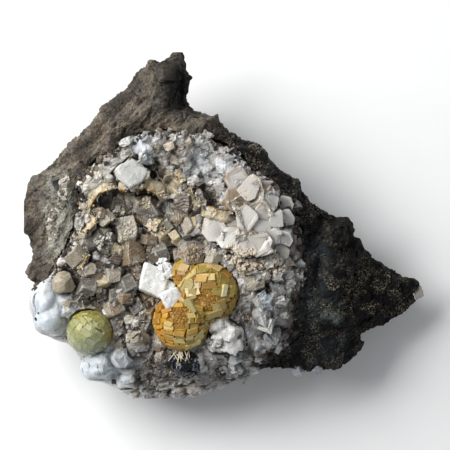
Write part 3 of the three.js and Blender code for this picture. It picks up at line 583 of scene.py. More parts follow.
class Ground:
    """Finished pieces that crystals stand on, seen from straight above."""

    def __init__(self, *names):
        self.shape = bmesh.new()
        for name in names:
            self.shape.from_mesh(bpy.data.objects[name].data)
        self.shape.faces.ensure_lookup_table()
        self.tone = self.shape.verts.layers.float_color["tone"]
        self.tree = BVHTree.FromBMesh(self.shape)

    def below(self, x, y):
        """The highest point at x, y, its normal and its tone, or None where nothing is."""
        place, normal, face, _ = self.tree.ray_cast(Vector((x, y, 1)), Vector((0, 0, -1)))
        if place is None:
            return None
        return place, normal, np.array(self.shape.faces[face].verts[0][self.tone])


class HeightNet:
    """The highest point in each cell of a square net over the specimen."""

    def __init__(self, cell, pieces):
        self.cell = cell
        self.corner = np.array(CAD_BOX[0][:2])
        size = np.array(CAD_BOX[1][:2]) - self.corner
        self.top = np.zeros(np.ceil(size / cell).astype(int) + 1)
        for piece in pieces:
            places = places_of(piece.data)
            across, along = self.cells(places)
            np.maximum.at(self.top, (across, along), places[:, 2])

    def cells(self, places):
        index = ((places[:, :2] - self.corner) / self.cell).astype(int)
        index = np.clip(index, 0, np.array(self.top.shape) - 1)
        return index[:, 0], index[:, 1]

    def beside(self, count, axis, turned):
        """The mean height of the next cells on one side of each cell."""
        values = np.moveaxis(self.top, axis, 0)
        values = values[::-1] if turned else values
        total = np.cumsum(np.pad(values, ((0, count), (0, 0))), axis=0)
        mean = (total[count:] - total[:-count]) / count
        return np.moveaxis(mean[::-1] if turned else mean, 0, axis)

    def banks(self, places, reach):
        """How high the ground stands on both sides of each place. Of two opposite sides the
        lower one counts, so the outer slopes of the specimen are no valley."""
        count = max(int(reach / self.cell), 1)
        across, along = (
            np.minimum(self.beside(count, axis, False), self.beside(count, axis, True))
            for axis in (0, 1)
        )
        return np.maximum(across, along)[self.cells(places)]


def cut(shape, place, away):
    """Cuts off what lies beyond a plane and closes the shape again."""
    made = bmesh.ops.bisect_plane(
        shape, geom=shape.verts[:] + shape.edges[:] + shape.faces[:], plane_co=place,
        plane_no=away, clear_outer=True,
    )
    rim = [item for item in made["geom_cut"] if isinstance(item, bmesh.types.BMEdge)]
    if rim:
        bmesh.ops.edgeloop_fill(shape, edges=rim)


def chipped(shape, draw, times, reach, upright=False):
    """Breaks corners off a crystal along random planes, or along upright ones."""
    for _ in range(times):
        rise = draw.gauss(0, 0.15 if upright else 1)
        away = Vector((draw.gauss(0, 1), draw.gauss(0, 1), rise)).normalized()
        edge = max(vert.co.dot(away) for vert in shape.verts)
        cut(shape, away * edge * reach, away)


def worn(shape, bevel):
    bmesh.ops.bevel(
        shape, geom=shape.edges[:], offset=bevel, segments=1, profile=0.5,
        affect="EDGES", material=-1, offset_type="OFFSET", clamp_overlap=True,
    )


def warped(shape, amount, draw):
    """Moves each corner a little its own way, as a crystal that grew crowded has them."""
    for vert in shape.verts:
        vert.co += Vector([draw.gauss(0, amount) for _ in range(3)])


def fitted(matrix, others, reach, top, thick, gap):
    """A block in the frame of a matrix, its top near the origin, cut to fit between others."""
    shape = bmesh.new()
    bmesh.ops.create_cone(shape, cap_ends=True, segments=7, radius1=reach, radius2=reach,
                          depth=thick)
    bmesh.ops.translate(shape, verts=shape.verts, vec=(0, 0, top - thick / 2))
    inverse = matrix.inverted()
    for other in others:
        near = inverse @ other
        if gap < near.length < 2.8 * reach:
            away = near.normalized()
            cut(shape, near * 0.5 - away * gap * 0.5, away)
    return shape


def rhomb_shape(width, depth, height):
    """A cleavage rhomb of calcite about its centre, standing on one corner."""
    shape = bmesh.new()
    bmesh.ops.create_cube(shape, size=1)
    lean = math.radians(RHOMB_LEAN)
    edges = [
        Vector((
            math.sin(lean) * math.cos(math.radians(120 * turn)),
            math.sin(lean) * math.sin(math.radians(120 * turn)),
            math.cos(lean),
        )) * size
        for turn, size in enumerate((width, depth, height))
    ]
    matrix = Matrix(edges).transposed().to_4x4()
    bmesh.ops.transform(shape, matrix=matrix, verts=shape.verts)
    return shape


def block_shape(width, depth, height, shear=0.18):
    """A flat-lying cleavage block about its centre."""
    shape = bmesh.new()
    bmesh.ops.create_cube(shape, size=1)
    matrix = Matrix((
        (width, depth * shear, height * 0.12, 0),
        (0, depth, height * 0.16, 0),
        (0, 0, height, 0),
        (0, 0, 0, 1),
    ))
    bmesh.ops.transform(shape, matrix=matrix, verts=shape.verts)
    return shape


def posed(place, spin, tilt, heading):
    """A matrix that spins, tilts and turns a crystal, in degrees, and sets it at a place."""
    return (
        Matrix.Translation(place)
        @ Matrix.Rotation(math.radians(heading), 4, "Z")
        @ Matrix.Rotation(math.radians(tilt), 4, "X")
        @ Matrix.Rotation(math.radians(spin), 4, "Z")
    )


def standing(place, up, heading):
    """A matrix that sets a block at a place with its top facing up."""
    east = Vector((math.cos(heading), math.sin(heading), 0))
    north = up.cross(east).normalized()
    east = north.cross(up).normalized()
    turn = Matrix((east, north, up)).transposed().to_4x4()
    return Matrix.Translation(place) @ turn


class Growth:
    """Many crystals collected in one mesh, each with its tone and its own coordinates."""

    def __init__(self):
        self.shape = bmesh.new()

    def add(self, crystal, matrix, tone, rim=None, ring=0.0):
        """Adds a crystal's bmesh. A rim colour lies in a ring along its faces' edges."""
        count = len(crystal.verts)
        if rim is not None:
            largest = max(face.calc_area() for face in crystal.faces)
            wide = [face for face in crystal.faces if face.calc_area() > largest * 0.15]
            bmesh.ops.inset_individual(crystal, faces=wide, thickness=ring)
        mesh = mesh_from(crystal, "crystal")
        local = places_of(mesh) / MM
        tones = np.tile(tone, (len(local), 1))
        if rim is not None:
            tones[:count] = rim
        store(mesh, "tone", tones)
        store(mesh, "local", local)
        mesh.transform(matrix)
        self.shape.from_mesh(mesh)
        bpy.data.meshes.remove(mesh)

    def finish(self):
        mesh = mesh_from(self.shape, "growth")
        places = in_box(places_of(mesh))
        mesh.vertices.foreach_set("co", places.astype(np.float32).ravel())
        mesh.update()
        return mesh


def uneven_rhomb(edge, least, draw):
    """A rhomb with one edge of full length, the other two a random share of it from least."""
    return rhomb_shape(edge, edge * draw.uniform(least, 1), edge * draw.uniform(least, 1))


def turned(place, draw, least, most):
    """A matrix that sets a crystal at a place, turned at random, its tilt within limits."""
    return posed(place, draw.uniform(0, 360), draw.uniform(least, most), draw.uniform(0, 360))


def varied(colour, amount, draw, alpha=1.0):
    """A colour made a little lighter or darker."""
    share = 1 + draw.uniform(-amount, amount)
    return tuple(min(channel * share, 1) for channel in colour[:3]) + (alpha,)


# Materials.

def add_node(tree, kind, values=None, links=None, **settings):
    """Adds a node with its settings, socket values and links."""
    made = tree.nodes.new(kind)
    for name, value in settings.items():
        setattr(made, name, value)
    for socket, value in (values or {}).items():
        made.inputs[socket].default_value = value
    for socket, source in (links or {}).items():
        tree.links.new(source, made.inputs[socket])
    return made


def new_material(name, values):
    """A material with its Principled shader, the shader's own values set."""
    material = bpy.data.materials.new(name)
    material.use_nodes = True
    tree = material.node_tree
    shader = tree.nodes["Principled BSDF"]
    for socket, value in values.items():
        shader.inputs[socket].default_value = value
    return material, tree, shader


def noise_share(tree, place, scale, detail, roughness=0.5):
    """Fractal noise from 0 to 1 over a place."""
    values = {"Scale": scale, "Detail": detail, "Roughness": roughness}
    return add_node(tree, "ShaderNodeTexNoise", values, {"Vector": place}).outputs["Fac"]


def ranged(tree, source, low, high, least=0, most=1):
    """A value between low and high as one between least and most."""
    values = {"From Min": low, "From Max": high, "To Min": least, "To Max": most}
    return add_node(tree, "ShaderNodeMapRange", values, {"Value": source}).outputs[0]


def joined(tree, first, second, operation):
    links = {0: first, 1: second}
    return add_node(tree, "ShaderNodeMath", links=links, operation=operation).outputs[0]


def laid_over(tree, under, colour, share):
    """A fixed colour laid over another by share."""
    links = {0: share, 6: under}
    made = add_node(tree, "ShaderNodeMix", {7: linear(colour)}, links, data_type="RGBA")
    return made.outputs[2]


def lightened(tree, colour, value):
    links = {"Color": colour, "Value": value}
    return add_node(tree, "ShaderNodeHueSaturation", links=links).outputs[0]


def surfaced(tree, shader, colour, height, strength, distance):
    """Gives the shader its colour and its fine relief."""
    values = {"Strength": strength, "Distance": distance}
    bump = add_node(tree, "ShaderNodeBump", values, {"Height": height})
    tree.links.new(colour, shader.inputs["Base Color"])
    tree.links.new(bump.outputs[0], shader.inputs["Normal"])


def basalt_material():
    """Basalt broken by hand: rough and dull, its fine grain about 0.7 mm, with drifts of pale
    feldspar flecks up to 0.6 mm. Its tones, and in their alpha the flecks, are stored in the
    mesh."""
    material, tree, shader = new_material(
        "Basalt, broken", {"Roughness": 0.75, "Specular IOR Level": 0.22},
    )
    stored = add_node(tree, "ShaderNodeAttribute", attribute_name="tone")
    place = add_node(tree, "ShaderNodeTexCoord").outputs["Object"]
    grain = noise_share(tree, place, 1400, 5, 0.72)
    value = ranged(tree, grain, 0.32, 0.7, 0.3, 1.9)
    grained = lightened(tree, stored.outputs["Color"], value)
    drifts = ranged(tree, noise_share(tree, place, 210, 3), 0.44, 0.6)
    flecks = ranged(tree, noise_share(tree, place, 1700, 3, 0.7), 0.52, 0.58, 0, 0.9)
    drifted = joined(tree, drifts, flecks, "MULTIPLY")
    flecked = joined(tree, drifted, stored.outputs["Alpha"], "MULTIPLY")
    colour = laid_over(tree, grained, "#a0957f", flecked)
    surfaced(tree, shader, colour, grain, 0.8, 0.35 * MM)
    return material


def crystal_material(name, values, stripe, frost, speckle, bump_height):
    """Calcite that grew in the open, its tone stored in the mesh. Growth lines about 0.8 mm
    apart cross its faces, as strong as the tone's alpha says, and pale frost lies on them in
    patches 2 mm wide."""
    material, tree, shader = new_material(name, values)
    stored = add_node(tree, "ShaderNodeAttribute", attribute_name="tone")
    own = add_node(tree, "ShaderNodeAttribute", attribute_name="local").outputs["Vector"]
    place = add_node(tree, "ShaderNodeTexCoord").outputs["Object"]
    lines = add_node(
        tree, "ShaderNodeTexWave",
        {"Scale": 0.4, "Distortion": 6, "Detail": 3, "Detail Scale": 1.4},
        {"Vector": own}, bands_direction="DIAGONAL",
    ).outputs["Fac"]
    cloud = noise_share(tree, place, 420, 5, 0.62)
    sugar = noise_share(tree, place, 1900, 4, 0.65)
    strength = ranged(tree, lines, 0.5, 0.95, 0, stripe)
    line_share = joined(tree, strength, stored.outputs["Alpha"], "MULTIPLY")
    striped = laid_over(tree, stored.outputs["Color"], "#e0d9cc", line_share)
    frosted = laid_over(tree, striped, "#e6e1d8", ranged(tree, cloud, 0.55, 0.68, 0, frost))
    value = ranged(tree, sugar, 0.3, 0.66, 1 - speckle, 1 + speckle * 0.4)
    relief = joined(tree, lines, sugar, "ADD")
    surfaced(tree, shader, lightened(tree, frosted, value), relief, 0.7, bump_height)
    return material


def mass_material(name, values, grain_scale, vary, bump_height):
    """A mineral whose colours are stored in the mesh as tone, with fine grain over them."""
    material, tree, shader = new_material(name, values)
    tone = add_node(tree, "ShaderNodeAttribute", attribute_name="tone").outputs["Color"]
    place = add_node(tree, "ShaderNodeTexCoord").outputs["Object"]
    grain = noise_share(tree, place, grain_scale, 5, 0.65)
    value = ranged(tree, grain, 0.3, 0.7, 1 - vary, 1 + vary * 0.6)
    surfaced(tree, shader, lightened(tree, tone, value), grain, 0.6, bump_height)
    return material


def translucent(roughness, weight, radius, depth, **more):
    """Shader values of a stone that lets light in a little way; depth is in millimetres."""
    return {"Roughness": roughness, "Subsurface Weight": weight, "Subsurface Radius": radius,
            "Subsurface Scale": depth * MM, **more}


# Basalt.

def rock_axes(places):
    """Places turned and drawn out along the rock's grain, which runs up to the right."""
    turn = np.array(Matrix.Rotation(math.radians(-42), 3, "Z"))
    return places @ turn.T * np.array((0.6, 1, 1))


def basalt_tones(places, normals, sizes, colours):
    """Brown weathered skin on the upper left, nearly black freshly broken rock on the right, with
    painted shade: faces turned to the right and the cracks are darkened.
    """
    x, y = places[:, 0] / MM, places[:, 1] / MM
    stray = clouds(places, 9 * MM) * 7
    fresh_and_shade = np.clip((x - 0.5 * y + 22 + stray) / 20, 0, 1)
    # Painted shade: faces that turn to the right, away from the light, are made nearly black.
    fresh_and_shade = np.clip(fresh_and_shade + np.clip(normals[:, 0] - 0.2, 0, 1), 0, 1)
    tone = blended(colours.rock_weathered, colours.rock_fresh, fresh_and_shade)
    stray = ragged(places, 4 * MM, 3)
    flecks = np.full(len(places), 0.22)
    for patch in BASALT_PATCHES:
        share = patch_share(places, patch, stray)
        tone = blended(tone, linear(patch["colour"]), share)
        flecks = flecks * (1 - share) + share * patch["flecks"]
    grained = rock_axes(places)
    _, own, _ = grains(grained, sizes.rock_break * 0.42, 4)
    _, fine, _ = grains(places, 1.5 * MM, 5)
    _, _, crack = grains(grained, sizes.rock_break * 1.2, 6)
    tone = tone * (1 + own[:, :1] * 0.22 + fine[:, :1] * 0.26)
    rust = clouds(places + 0.3, 5 * MM)[:, None]
    tone = tone * (1 + rust * np.array([0.12, 0.04, -0.1, 0]))
    stain = clouds(grained, 7 * MM, 6)
    tone = tone * (1 - np.clip((stain - 0.05) * 1.6, 0, 0.7))[:, None]
    # Painted shade: the cracks carved in make_basalt turn nearly black.
    tone = blended(tone, linear("#0f0d0b"), (0.03 - crack) * 22)
    tone[:, 3] = flecks
    return tone


def make_basalt(sizes, colours):
    net = remeshed(cad_copy("basalt_matrix"), sizes.rock_net)
    places = places_of(net)
    grained = rock_axes(places)
    size = sizes.rock_break
    broken = breaks(grained, size * 1.2, 0.4, 0.3, 3) * 1.3
    _, _, crack = grains(grained, size * 1.2, 6)
    offset, own, _ = grains(grained, size * 0.42, 4)
    slabs = own[:, 1] * 0.32 + (offset * own).sum(1) * 0.9
    small = facets(places, 1.5 * MM, 0.55, 5)
    cracks = np.clip(0.04 - crack, 0, 1) * 12
    move_out(net, (broken + slabs + small - cracks - 0.3) * MM)
    places = places_of(net)
    normals = normals_of(net)
    store(net, "tone", basalt_tones(places, normals, sizes, colours))
    new_piece("basalt", net, basalt_material(), "basalt", "basalt_matrix")


# Calcite lining and its rhombs.

def patch_share(places, patch, stray):
    """How far each place lies in a patch, from 0 to 1, with a ragged edge."""
    x, y = places[:, 0] / MM + stray[:, 0], places[:, 1] / MM + stray[:, 1]
    across = (x - patch["at"][0]) / patch["reach"][0]
    along = (y - patch["at"][1]) / patch["reach"][1]
    return np.exp(-(across ** 2 + along ** 2) ** 2) * patch["share"]


def lining_tones(places, colours):
    """White and cream grains, then the stains, painted shadows and clean patches over them, and
    painted shade that darkens it towards the lower right.
    """
    stray = ragged(places, 5 * MM, 2.5)
    _, own, _ = grains(places, 2.4 * MM, 12)
    _, fine, _ = grains(places, 1.0 * MM, 13)
    tone = blended(colours.lining_white, colours.lining_cream, own[:, 0] * 0.7 + 0.25)
    tone = blended(tone, linear("#b4bbc1"), (own[:, 1] - 0.3) * 1.4)
    for patch in LINING_PATCHES:
        share = patch_share(places, patch, stray) * (0.85 + own[:, 2] * 0.25)
        tone = blended(tone, linear(patch["colour"]), share)
    x, y = places[:, 0] / MM, places[:, 1] / MM
    # Painted shade: the lining grows darker towards the lower right, where the light falls off.
    dull = np.clip((x * 0.8 - y * 0.4 + 8) / 34, 0, 1) * 0.42
    clean = np.max([patch_share(places, patch, stray) * patch["smooth"]
                    for patch in LINING_PATCHES if "smooth" in patch], axis=0)
    mottle = own[:, 1:2] * 0.18 + fine[:, :1] * 0.16
    tone = tone * (1 + mottle * (1 - clean)[:, None]) * (1 - dull)[:, None]
    tone = blended(tone, linear("#5b4a3b"), (fine[:, 1] - 0.78) * 4 * (1 - clean))
    tone[:, 3] = 1
    return tone


def make_lining(sizes, colours):
    net = remeshed(cad_copy("calcite_crust"), sizes.lining_net)
    places = places_of(net)
    still = np.zeros((len(places), 3))
    stray = ragged(places, 4 * MM, 1.5)
    smooth, sunk = np.zeros(len(places)), np.zeros(len(places))
    for patch in LINING_PATCHES:
        if "smooth" in patch:
            smooth = np.maximum(smooth, patch_share(places, patch, still) * patch["smooth"])
        if "deep" in patch:
            sunk += patch_share(places, patch, stray) * patch["deep"]
    swollen = np.zeros(len(places))
    for at, reach, height in SWELLINGS:
        across = (places[:, 0] / MM - at[0]) / reach[0]
        along = (places[:, 1] / MM - at[1]) / reach[1]
        dome = np.clip(1.15 - across ** 2 - along ** 2, 0, 1) * height
        swollen = np.maximum(swollen, dome)
    smooth = np.maximum(smooth, np.clip(swollen, 0, 1) * 0.75)
    upward = np.clip(normals_of(net)[:, 2] * 1.5, 0, 1)
    rugged = 1 - smooth * 0.95
    lump = sizes.lining_lump
    lumps = -breaks(places, lump, 0.32, 0.34, 7) * (1 - smooth * 0.7)
    knobs = -breaks(places, lump * 0.5, 0.32, 0.36, 11) * (1 - smooth * 0.8)
    swells = -breaks(places, lump * 2.1, 0.2, 0.3, 10) * smooth * 0.8
    chips = facets(places, lump * 0.52, 0.55, 8) + facets(places, lump * 0.25, 0.3, 9)
    relief = lumps * 0.9 + knobs * 0.6 + swells + chips * rugged
    relief *= 0.45 + 0.55 * upward
    move_out(net, (relief - sunk + swollen * upward) * MM)
    places = places_of(net)
    store(net, "tone", lining_tones(places, colours))
    # Massive calcite: icy white, light soaks two millimetres into it.
    material = mass_material(
        "Calcite, massive", translucent(0.34, 0.55, (1.0, 0.93, 0.86), 2.2), 1100, 0.16,
        0.12 * MM,
    )
    new_piece("lining", net, material, "calcite_lining", "calcite_crust")


def scattered(ground, draw, count, widths, room, taken, accept):
    """Random spots on the lining with room between them: place, tone and width."""
    low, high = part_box("calcite_crust")
    for _ in range(count):
        x, y = draw.uniform(low.x, high.x), draw.uniform(low.y, high.y)
        width = draw.uniform(*widths) * MM
        found = ground.below(x, y)
        if found is None or found[1].z < 0.3 or not accept(x / MM, y / MM):
            continue
        near = any(
            (x - other[0]) ** 2 + (y - other[1]) ** 2 < (room * (width + other[2])) ** 2
            for other in taken
        )
        if near:
            continue
        taken.append((x, y, width))
        yield found[0], found[2], width


def covers(patch, x, y, share=1):
    """Whether a place of the drawing lies in a patch's ellipse, or in a share of its area."""
    across = (x - patch["at"][0]) / patch["reach"][0]
    along = (y - patch["at"][1]) / patch["reach"][1]
    return across ** 2 + along ** 2 < share


def is_sunk(x, y):
    return any(covers(patch, x, y) for patch in LINING_PATCHES if "deep" in patch)


def in_hollow(x, y):
    return covers(HOLLOW, x, y) and not is_sunk(x, y)


def outside_hollow(x, y):
    massive = any(covers(patch, x, y, 0.8) for patch in MASSIVE_PATCHES)
    return not covers(HOLLOW, x, y) and not massive and not is_sunk(x, y)


def grown_rhomb(edge, least, breaks_off, wear, draw, bend):
    """An uneven rhomb as it stands now. So many corners broke off, each cut somewhere between
    two shares of the crystal, wear is how many more wore off and how far, how much the
    corners stray and how round its edges are, in edges."""
    crystal = uneven_rhomb(edge, least, draw)
    times, shortest, longest = breaks_off
    chipped(crystal, draw, times, draw.uniform(shortest, longest))
    more, reach, stray, bevel = wear
    chipped(crystal, bend, more, reach)
    warped(crystal, stray * edge, bend)
    worn(crystal, bevel * edge)
    return crystal


def add_rhomb(growth, crystal, matrix, body, frost, ring):
    """Adds a rhomb with a frosted ring on each face, which keeps the body's stripes."""
    frost[3] = body[3]
    growth.add(crystal, matrix, body, rim=frost, ring=ring)


def add_listed(growth, ground, rhombs, draw, bend, taken):
    """Stands each listed rhomb on the lining; outside the hollow they are worn and broken."""
    for tone, x, y, width in rhombs:
        place = Vector((*spot(x, y), 0))
        found = ground.below(place.x, place.y)
        if found is None:
            raise RuntimeError(f"no lining under the rhomb at {x}, {y}")
        edge = width * 0.8 * MM
        wear = (0, 1, 0.035, 0.045) if in_hollow(x, y) else (7, 0.78, 0.11, 0.24)
        crystal = grown_rhomb(edge, 0.7, (4, 0.74, 0.88), wear, draw, bend)
        place = found[0] + Vector((0, 0, -0.26 * edge))
        matrix = turned(place, draw, 5, 50)
        body = varied(linear(RHOMB_TONES[tone]), 0.12, draw, draw.choice((0, 0.4, 1)))
        frost = mixed(body, linear("#e4ddd0"), draw.uniform(0.1, 0.6))
        add_rhomb(growth, crystal, matrix, body, frost, 0.1 * edge)
        taken.append((place.x, place.y, width * MM))


def make_rhombs(sizes, colours):
    ground = Ground("lining")
    draw = random.Random(4)
    bend = random.Random(5)
    growth = Growth()
    taken = [(*spot(x, y), 2.4 * MM) for ledge in LEDGES for x, y in ledge["line"]]
    add_listed(growth, ground, RHOMBS, draw, bend, taken)
    for place, _, width in scattered(
        ground, draw, sizes.medium_rhombs * 6, (2.6, 6.0), 0.22, taken, in_hollow,
    ):
        edge = width * 0.78
        wear = (0, 1, 0.04, 0.045)
        crystal = grown_rhomb(edge, 0.6, (3, 0.72, 0.88), wear, draw, bend)
        place = place - Vector((0, 0, draw.uniform(0, 0.35) * edge))
        matrix = turned(place, draw, 5, 60)
        tone = draw.choice(("light", "cream", "beige", "beige", "grey", "smoky", "smoky",
                            "dark", "dark"))
        body = varied(linear(RHOMB_TONES[tone]), 0.15, draw, draw.choice((0, 0.3, 0.8)))
        frost = mixed(body, linear("#ddd0b8"), draw.uniform(0.0, 0.45))
        add_rhomb(growth, crystal, matrix, body, frost, 0.1 * edge)
    for place, tone, width in scattered(
        ground, draw, sizes.pale_lumps * 3, (2.2, 5.8), 0.4, taken, outside_hollow,
    ):
        edge = width * 0.8
        wear = (5, 0.8, 0.09, 0.2)
        crystal = grown_rhomb(edge, 0.6, (4, 0.7, 0.85), wear, draw, bend)
        place = place - Vector((0, 0, draw.uniform(0.2, 0.5) * edge))
        matrix = turned(place, draw, 5, 60)
        pale = linear(draw.choice(("#e3e4e4", "#ccd1d5", "#d8d2c8", "#c9c0b4", "#eeece8")))
        # The lining's tone here carries its stains and, in places, its painted shadows and painted
        # shade.
        body = mixed(tone, pale, draw.uniform(0.0, 0.5))
        body = varied(body, 0.1, draw, 0.0)
        rim = mixed(body, linear("#efece6"), 0.35)
        growth.add(crystal, matrix, body, rim=rim, ring=0.14 * edge)
    add_listed(growth, ground, RIM_RHOMBS, draw, bend, taken)
    # Clear to smoky calcite under a frosted skin: soft gloss, and light passes through it.
    clear = translucent(0.3, 0.15, (1.0, 0.9, 0.8), 1.0, IOR=1.6)
    clear["Transmission Weight"] = 0.35
    material = crystal_material("Calcite, frosted rhombs", clear, 0.4, 0.7, 0.35, 0.14 * MM)
    new_piece("rhombs", growth.finish(), material, "calcite_lining", "calcite_crust")


def make_small_rhombs(sizes, colours):
    ground = Ground("lining")
    draw = random.Random(9)
    growth = Growth()
    smooth = [patch for patch in LINING_PATCHES if "smooth" in patch]
    low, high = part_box("calcite_crust")
    for index in range(sizes.small_rhombs + sizes.sugar_grains):
        x, y = draw.uniform(low.x, high.x), draw.uniform(low.y, high.y)
        found = ground.below(x, y)
        if found is None or found[1].z < 0.2:
            continue
        spot_xy = np.array([(x, y, 0)])
        clean = max(
            patch_share(spot_xy, patch, np.zeros((1, 3)))[0] * patch["smooth"]
            for patch in smooth
        )
        if draw.random() < clean:
            continue
        fine = index >= sizes.small_rhombs
        inside = in_hollow(x / MM, y / MM)
        if (fine and inside) or is_sunk(x / MM, y / MM):
            continue
        edge = draw.uniform(0.35, 0.8) * MM if fine else draw.uniform(0.9, 2.1) * MM
        crystal = rhomb_shape(edge, edge, edge * draw.uniform(0.6, 1))
        if not fine:
            chipped(crystal, draw, 1, 0.8)
        place = found[0] - Vector((0, 0, 0.25 * edge))
        matrix = turned(place, draw, 0, 70)
        # The lining's tone here carries its stains and, in places, its painted shadows and painted
        # shade.
        tone = mixed(found[2], linear("#ece8e2"), draw.uniform(0, 0.25))
        growth.add(crystal, matrix, varied(tone, 0.15, draw))
    # Sugary calcite: small broken crystals, each face catching the light its own way.
    material = mass_material(
        "Calcite, sugary", translucent(0.35, 0.15, (1.0, 0.95, 0.9), 0.6), 1500, 0.15,
        0.08 * MM,
    )
    new_piece("small_rhombs", growth.finish(), material, "calcite_lining", "calcite_crust")


def make_margin(sizes, colours):
    """Dark crumbs of rock and stained calcite where the lining meets the basalt; their dark tones
    also stand in as painted shade for the groove there.
    """
    lining = Ground("lining")
    rock = Ground("basalt")
    draw = random.Random(17)
    growth = Growth()
    middle = Vector(LINING_MIDDLE) * MM
    for _ in range(sizes.margin_crumbs):
        heading = draw.uniform(0, 2 * math.pi)
        away = Vector((math.cos(heading), math.sin(heading)))
        reach = LINING_REACH * MM
        while reach > 0 and lining.below(*(middle + away * reach)) is None:
            reach -= 1 * MM
        place = middle + away * (reach + draw.gauss(0.1, 0.8) * MM)
        found = rock.below(*place)
        above = lining.below(*place)
        if found is None:
            continue
        if above is not None and above[0].z > found[0].z:
            found = above
        edge = draw.uniform(0.5, 1.9) * MM
        crumb = block_shape(edge, edge * draw.uniform(0.6, 1), edge * draw.uniform(0.5, 1))
        chipped(crumb, draw, 3, 0.7)
        sunken = found[0] - Vector((0, 0, 0.3 * edge))
        matrix = turned(sunken, draw, 0, 90)
        # Painted shade: the brown and black tones also darken the seam as its shadow would.
        brown = ("#231d18", "#2e2823", "#453b31", "#5a4f41", "#6f6454")
        black = ("#141110", "#1d1916", "#2a231e", "#3d3229")
        tone = draw.choice(brown if place.x < -5 * MM else black)
        growth.add(crumb, matrix, varied(linear(tone), 0.2, draw))
    for _ in range(VEIN_CRUMBS):
        share = draw.uniform(0, len(VEIN_LINE) - 1.001)
        start, end = VEIN_LINE[int(share)], VEIN_LINE[int(share) + 1]
        part = share - int(share)
        x = start[0] + (end[0] - start[0]) * part + draw.gauss(0, 0.6)
        y = start[1] + (end[1] - start[1]) * part + draw.gauss(0, 0.6)
        found = rock.below(*spot(x, y))
        if found is None:
            continue
        edge = draw.uniform(0.5, 1.6) * MM
        crumb = rhomb_shape(edge, edge, edge)
        chipped(crumb, draw, 2, 0.75)
        matrix = turned(found[0], draw, 0, 90)
        tone = draw.choice(("#c9c4ba", "#aba498", "#8d8577", "#6f675b"))
        growth.add(crumb, matrix, varied(linear(tone), 0.15, draw))
    # Crumbs of stained calcite and rock, dull and matt, dark partly as painted shade in the seam.
    material = mass_material("Calcite crumbs, stained, with painted shade", {"Roughness": 0.6}, 1500, 0.2, 0.1 * MM)
    new_piece("margin_crumbs", growth.finish(), material, "calcite_lining", "calcite_crust")


def make_ledges(sizes, colours):
    """A thin curtain along each ledge: a cream lip above, ochre below it, then brown as painted
    shadow where it drops away under the lip.
    """
    # The noise that bends the ledges starts from a seed of its own.
    noise.seed_set(1)
    ground = Ground("lining")
    growth = Growth()
    for ledge in LEDGES:
        line = [Vector(spot(x, y)) for x, y in ledge["line"]]
        points = []
        for start, end in zip(line, line[1:]):
            steps = max(round((end - start).length / (0.35 * MM)), 1)
            points += [start.lerp(end, step / steps) for step in range(steps)]
        points.append(line[-1])
        asides, tops = [], []
        for here, point in enumerate(points):
            before, after = points[max(here - 2, 0)], points[min(here + 2, len(points) - 1)]
            along = (after - before).normalized()
            aside = Vector((-along.y, along.x)) * ledge["high_side"]
            highs = [
                ground.below(*(point + aside * reach * MM)) for reach in (0.8, 1.6, 2.4)
            ]
            asides.append(aside)
            tops.append(max(found[0].z for found in highs if found))
        for _ in range(LEVELLING):
            tops = [
                (tops[max(here - 1, 0)] + top + tops[min(here + 1, len(tops) - 1)]) / 3
                for here, top in enumerate(tops)
            ]
        strip = bmesh.new()
        rows = []
        for out, drop in LEDGE_PROFILE:
            row = []
            for point, aside, top in zip(points, asides, tops):
                flat = point - aside * out * ledge["width"] * MM
                stray = noise.noise_vector(Vector((*flat, 0)) / (1.9 * MM)) * 0.6
                fine = noise.noise_vector(Vector((*flat, drop * MM)) / (0.7 * MM)) * 0.2
                place = Vector((*flat, top + (ledge["rise"] - drop) * MM))
                row.append(strip.verts.new(place + (stray + fine) * MM))
            rows.append([strip.edges.new(pair) for pair in zip(row, row[1:])])
        for upper, lower in zip(rows, rows[1:]):
            bmesh.ops.bridge_loops(strip, edges=upper + lower)
        bmesh.ops.recalc_face_normals(strip, faces=strip.faces)
        bmesh.ops.solidify(strip, geom=strip.faces[:], thickness=0.4 * MM)
        bmesh.ops.triangulate(strip, faces=strip.faces)
        mesh = mesh_from(strip, "strip")
        places = places_of(mesh)
        gaps = places[:, None, :2] - np.array(points)[None]
        nearest = np.hypot(gaps[..., 0], gaps[..., 1]).argmin(1)
        down = ledge["rise"] + (np.array(tops)[nearest] - places[:, 2]) / MM
        turned = np.array(asides)[nearest]
        out = (np.array(points)[nearest] - places[:, :2]) * turned
        out = out.sum(1) / (ledge["width"] * MM) + clouds(places, 1.6 * MM) * 1.2
        tone = blended(linear("#d2c5a6"), colours.ochre, out * 0.9 + 1.0 - ledge["cream"] * 0.6)
        # Painted shadow: the further the curtain drops below its top, the darker brown it turns.
        tone = blended(tone, linear("#4a3018"), (down - 0.9) * 0.7)
        tone = tone * (1 + clouds(places, 1.2 * MM)[:, None] * 0.25)
        store(mesh, "tone", np.clip(tone, 0, 1))
        growth.shape.from_mesh(mesh)
        bpy.data.meshes.remove(mesh)
    # Thin cast of ochre prehnite: dull, with a cream weathered top.
    material = mass_material("Prehnite, thin ochre cast", {"Roughness": 0.55}, 1400, 0.25,
                             0.12 * MM)
    new_piece("ledges", growth.finish(), material, "prehnite_yellow", "calcite_crust")


# Prehnite.

def lobe_vector(lobe):
    x, y, z = lobe["centre"]
    return Vector((*spot(x, y), z * MM))


def sugar_share(places, lobe):
    """How far places lie in the crumbled patch of a lobe, from 0 to 1."""
    if not lobe["sugar"]:
        return np.zeros(len(places))
    x, y, radius = lobe["sugar"]
    near = np.hypot(places[:, 0] / MM - x, places[:, 1] / MM - y) / radius
    return np.clip((1.1 - near) * 4, 0, 1)


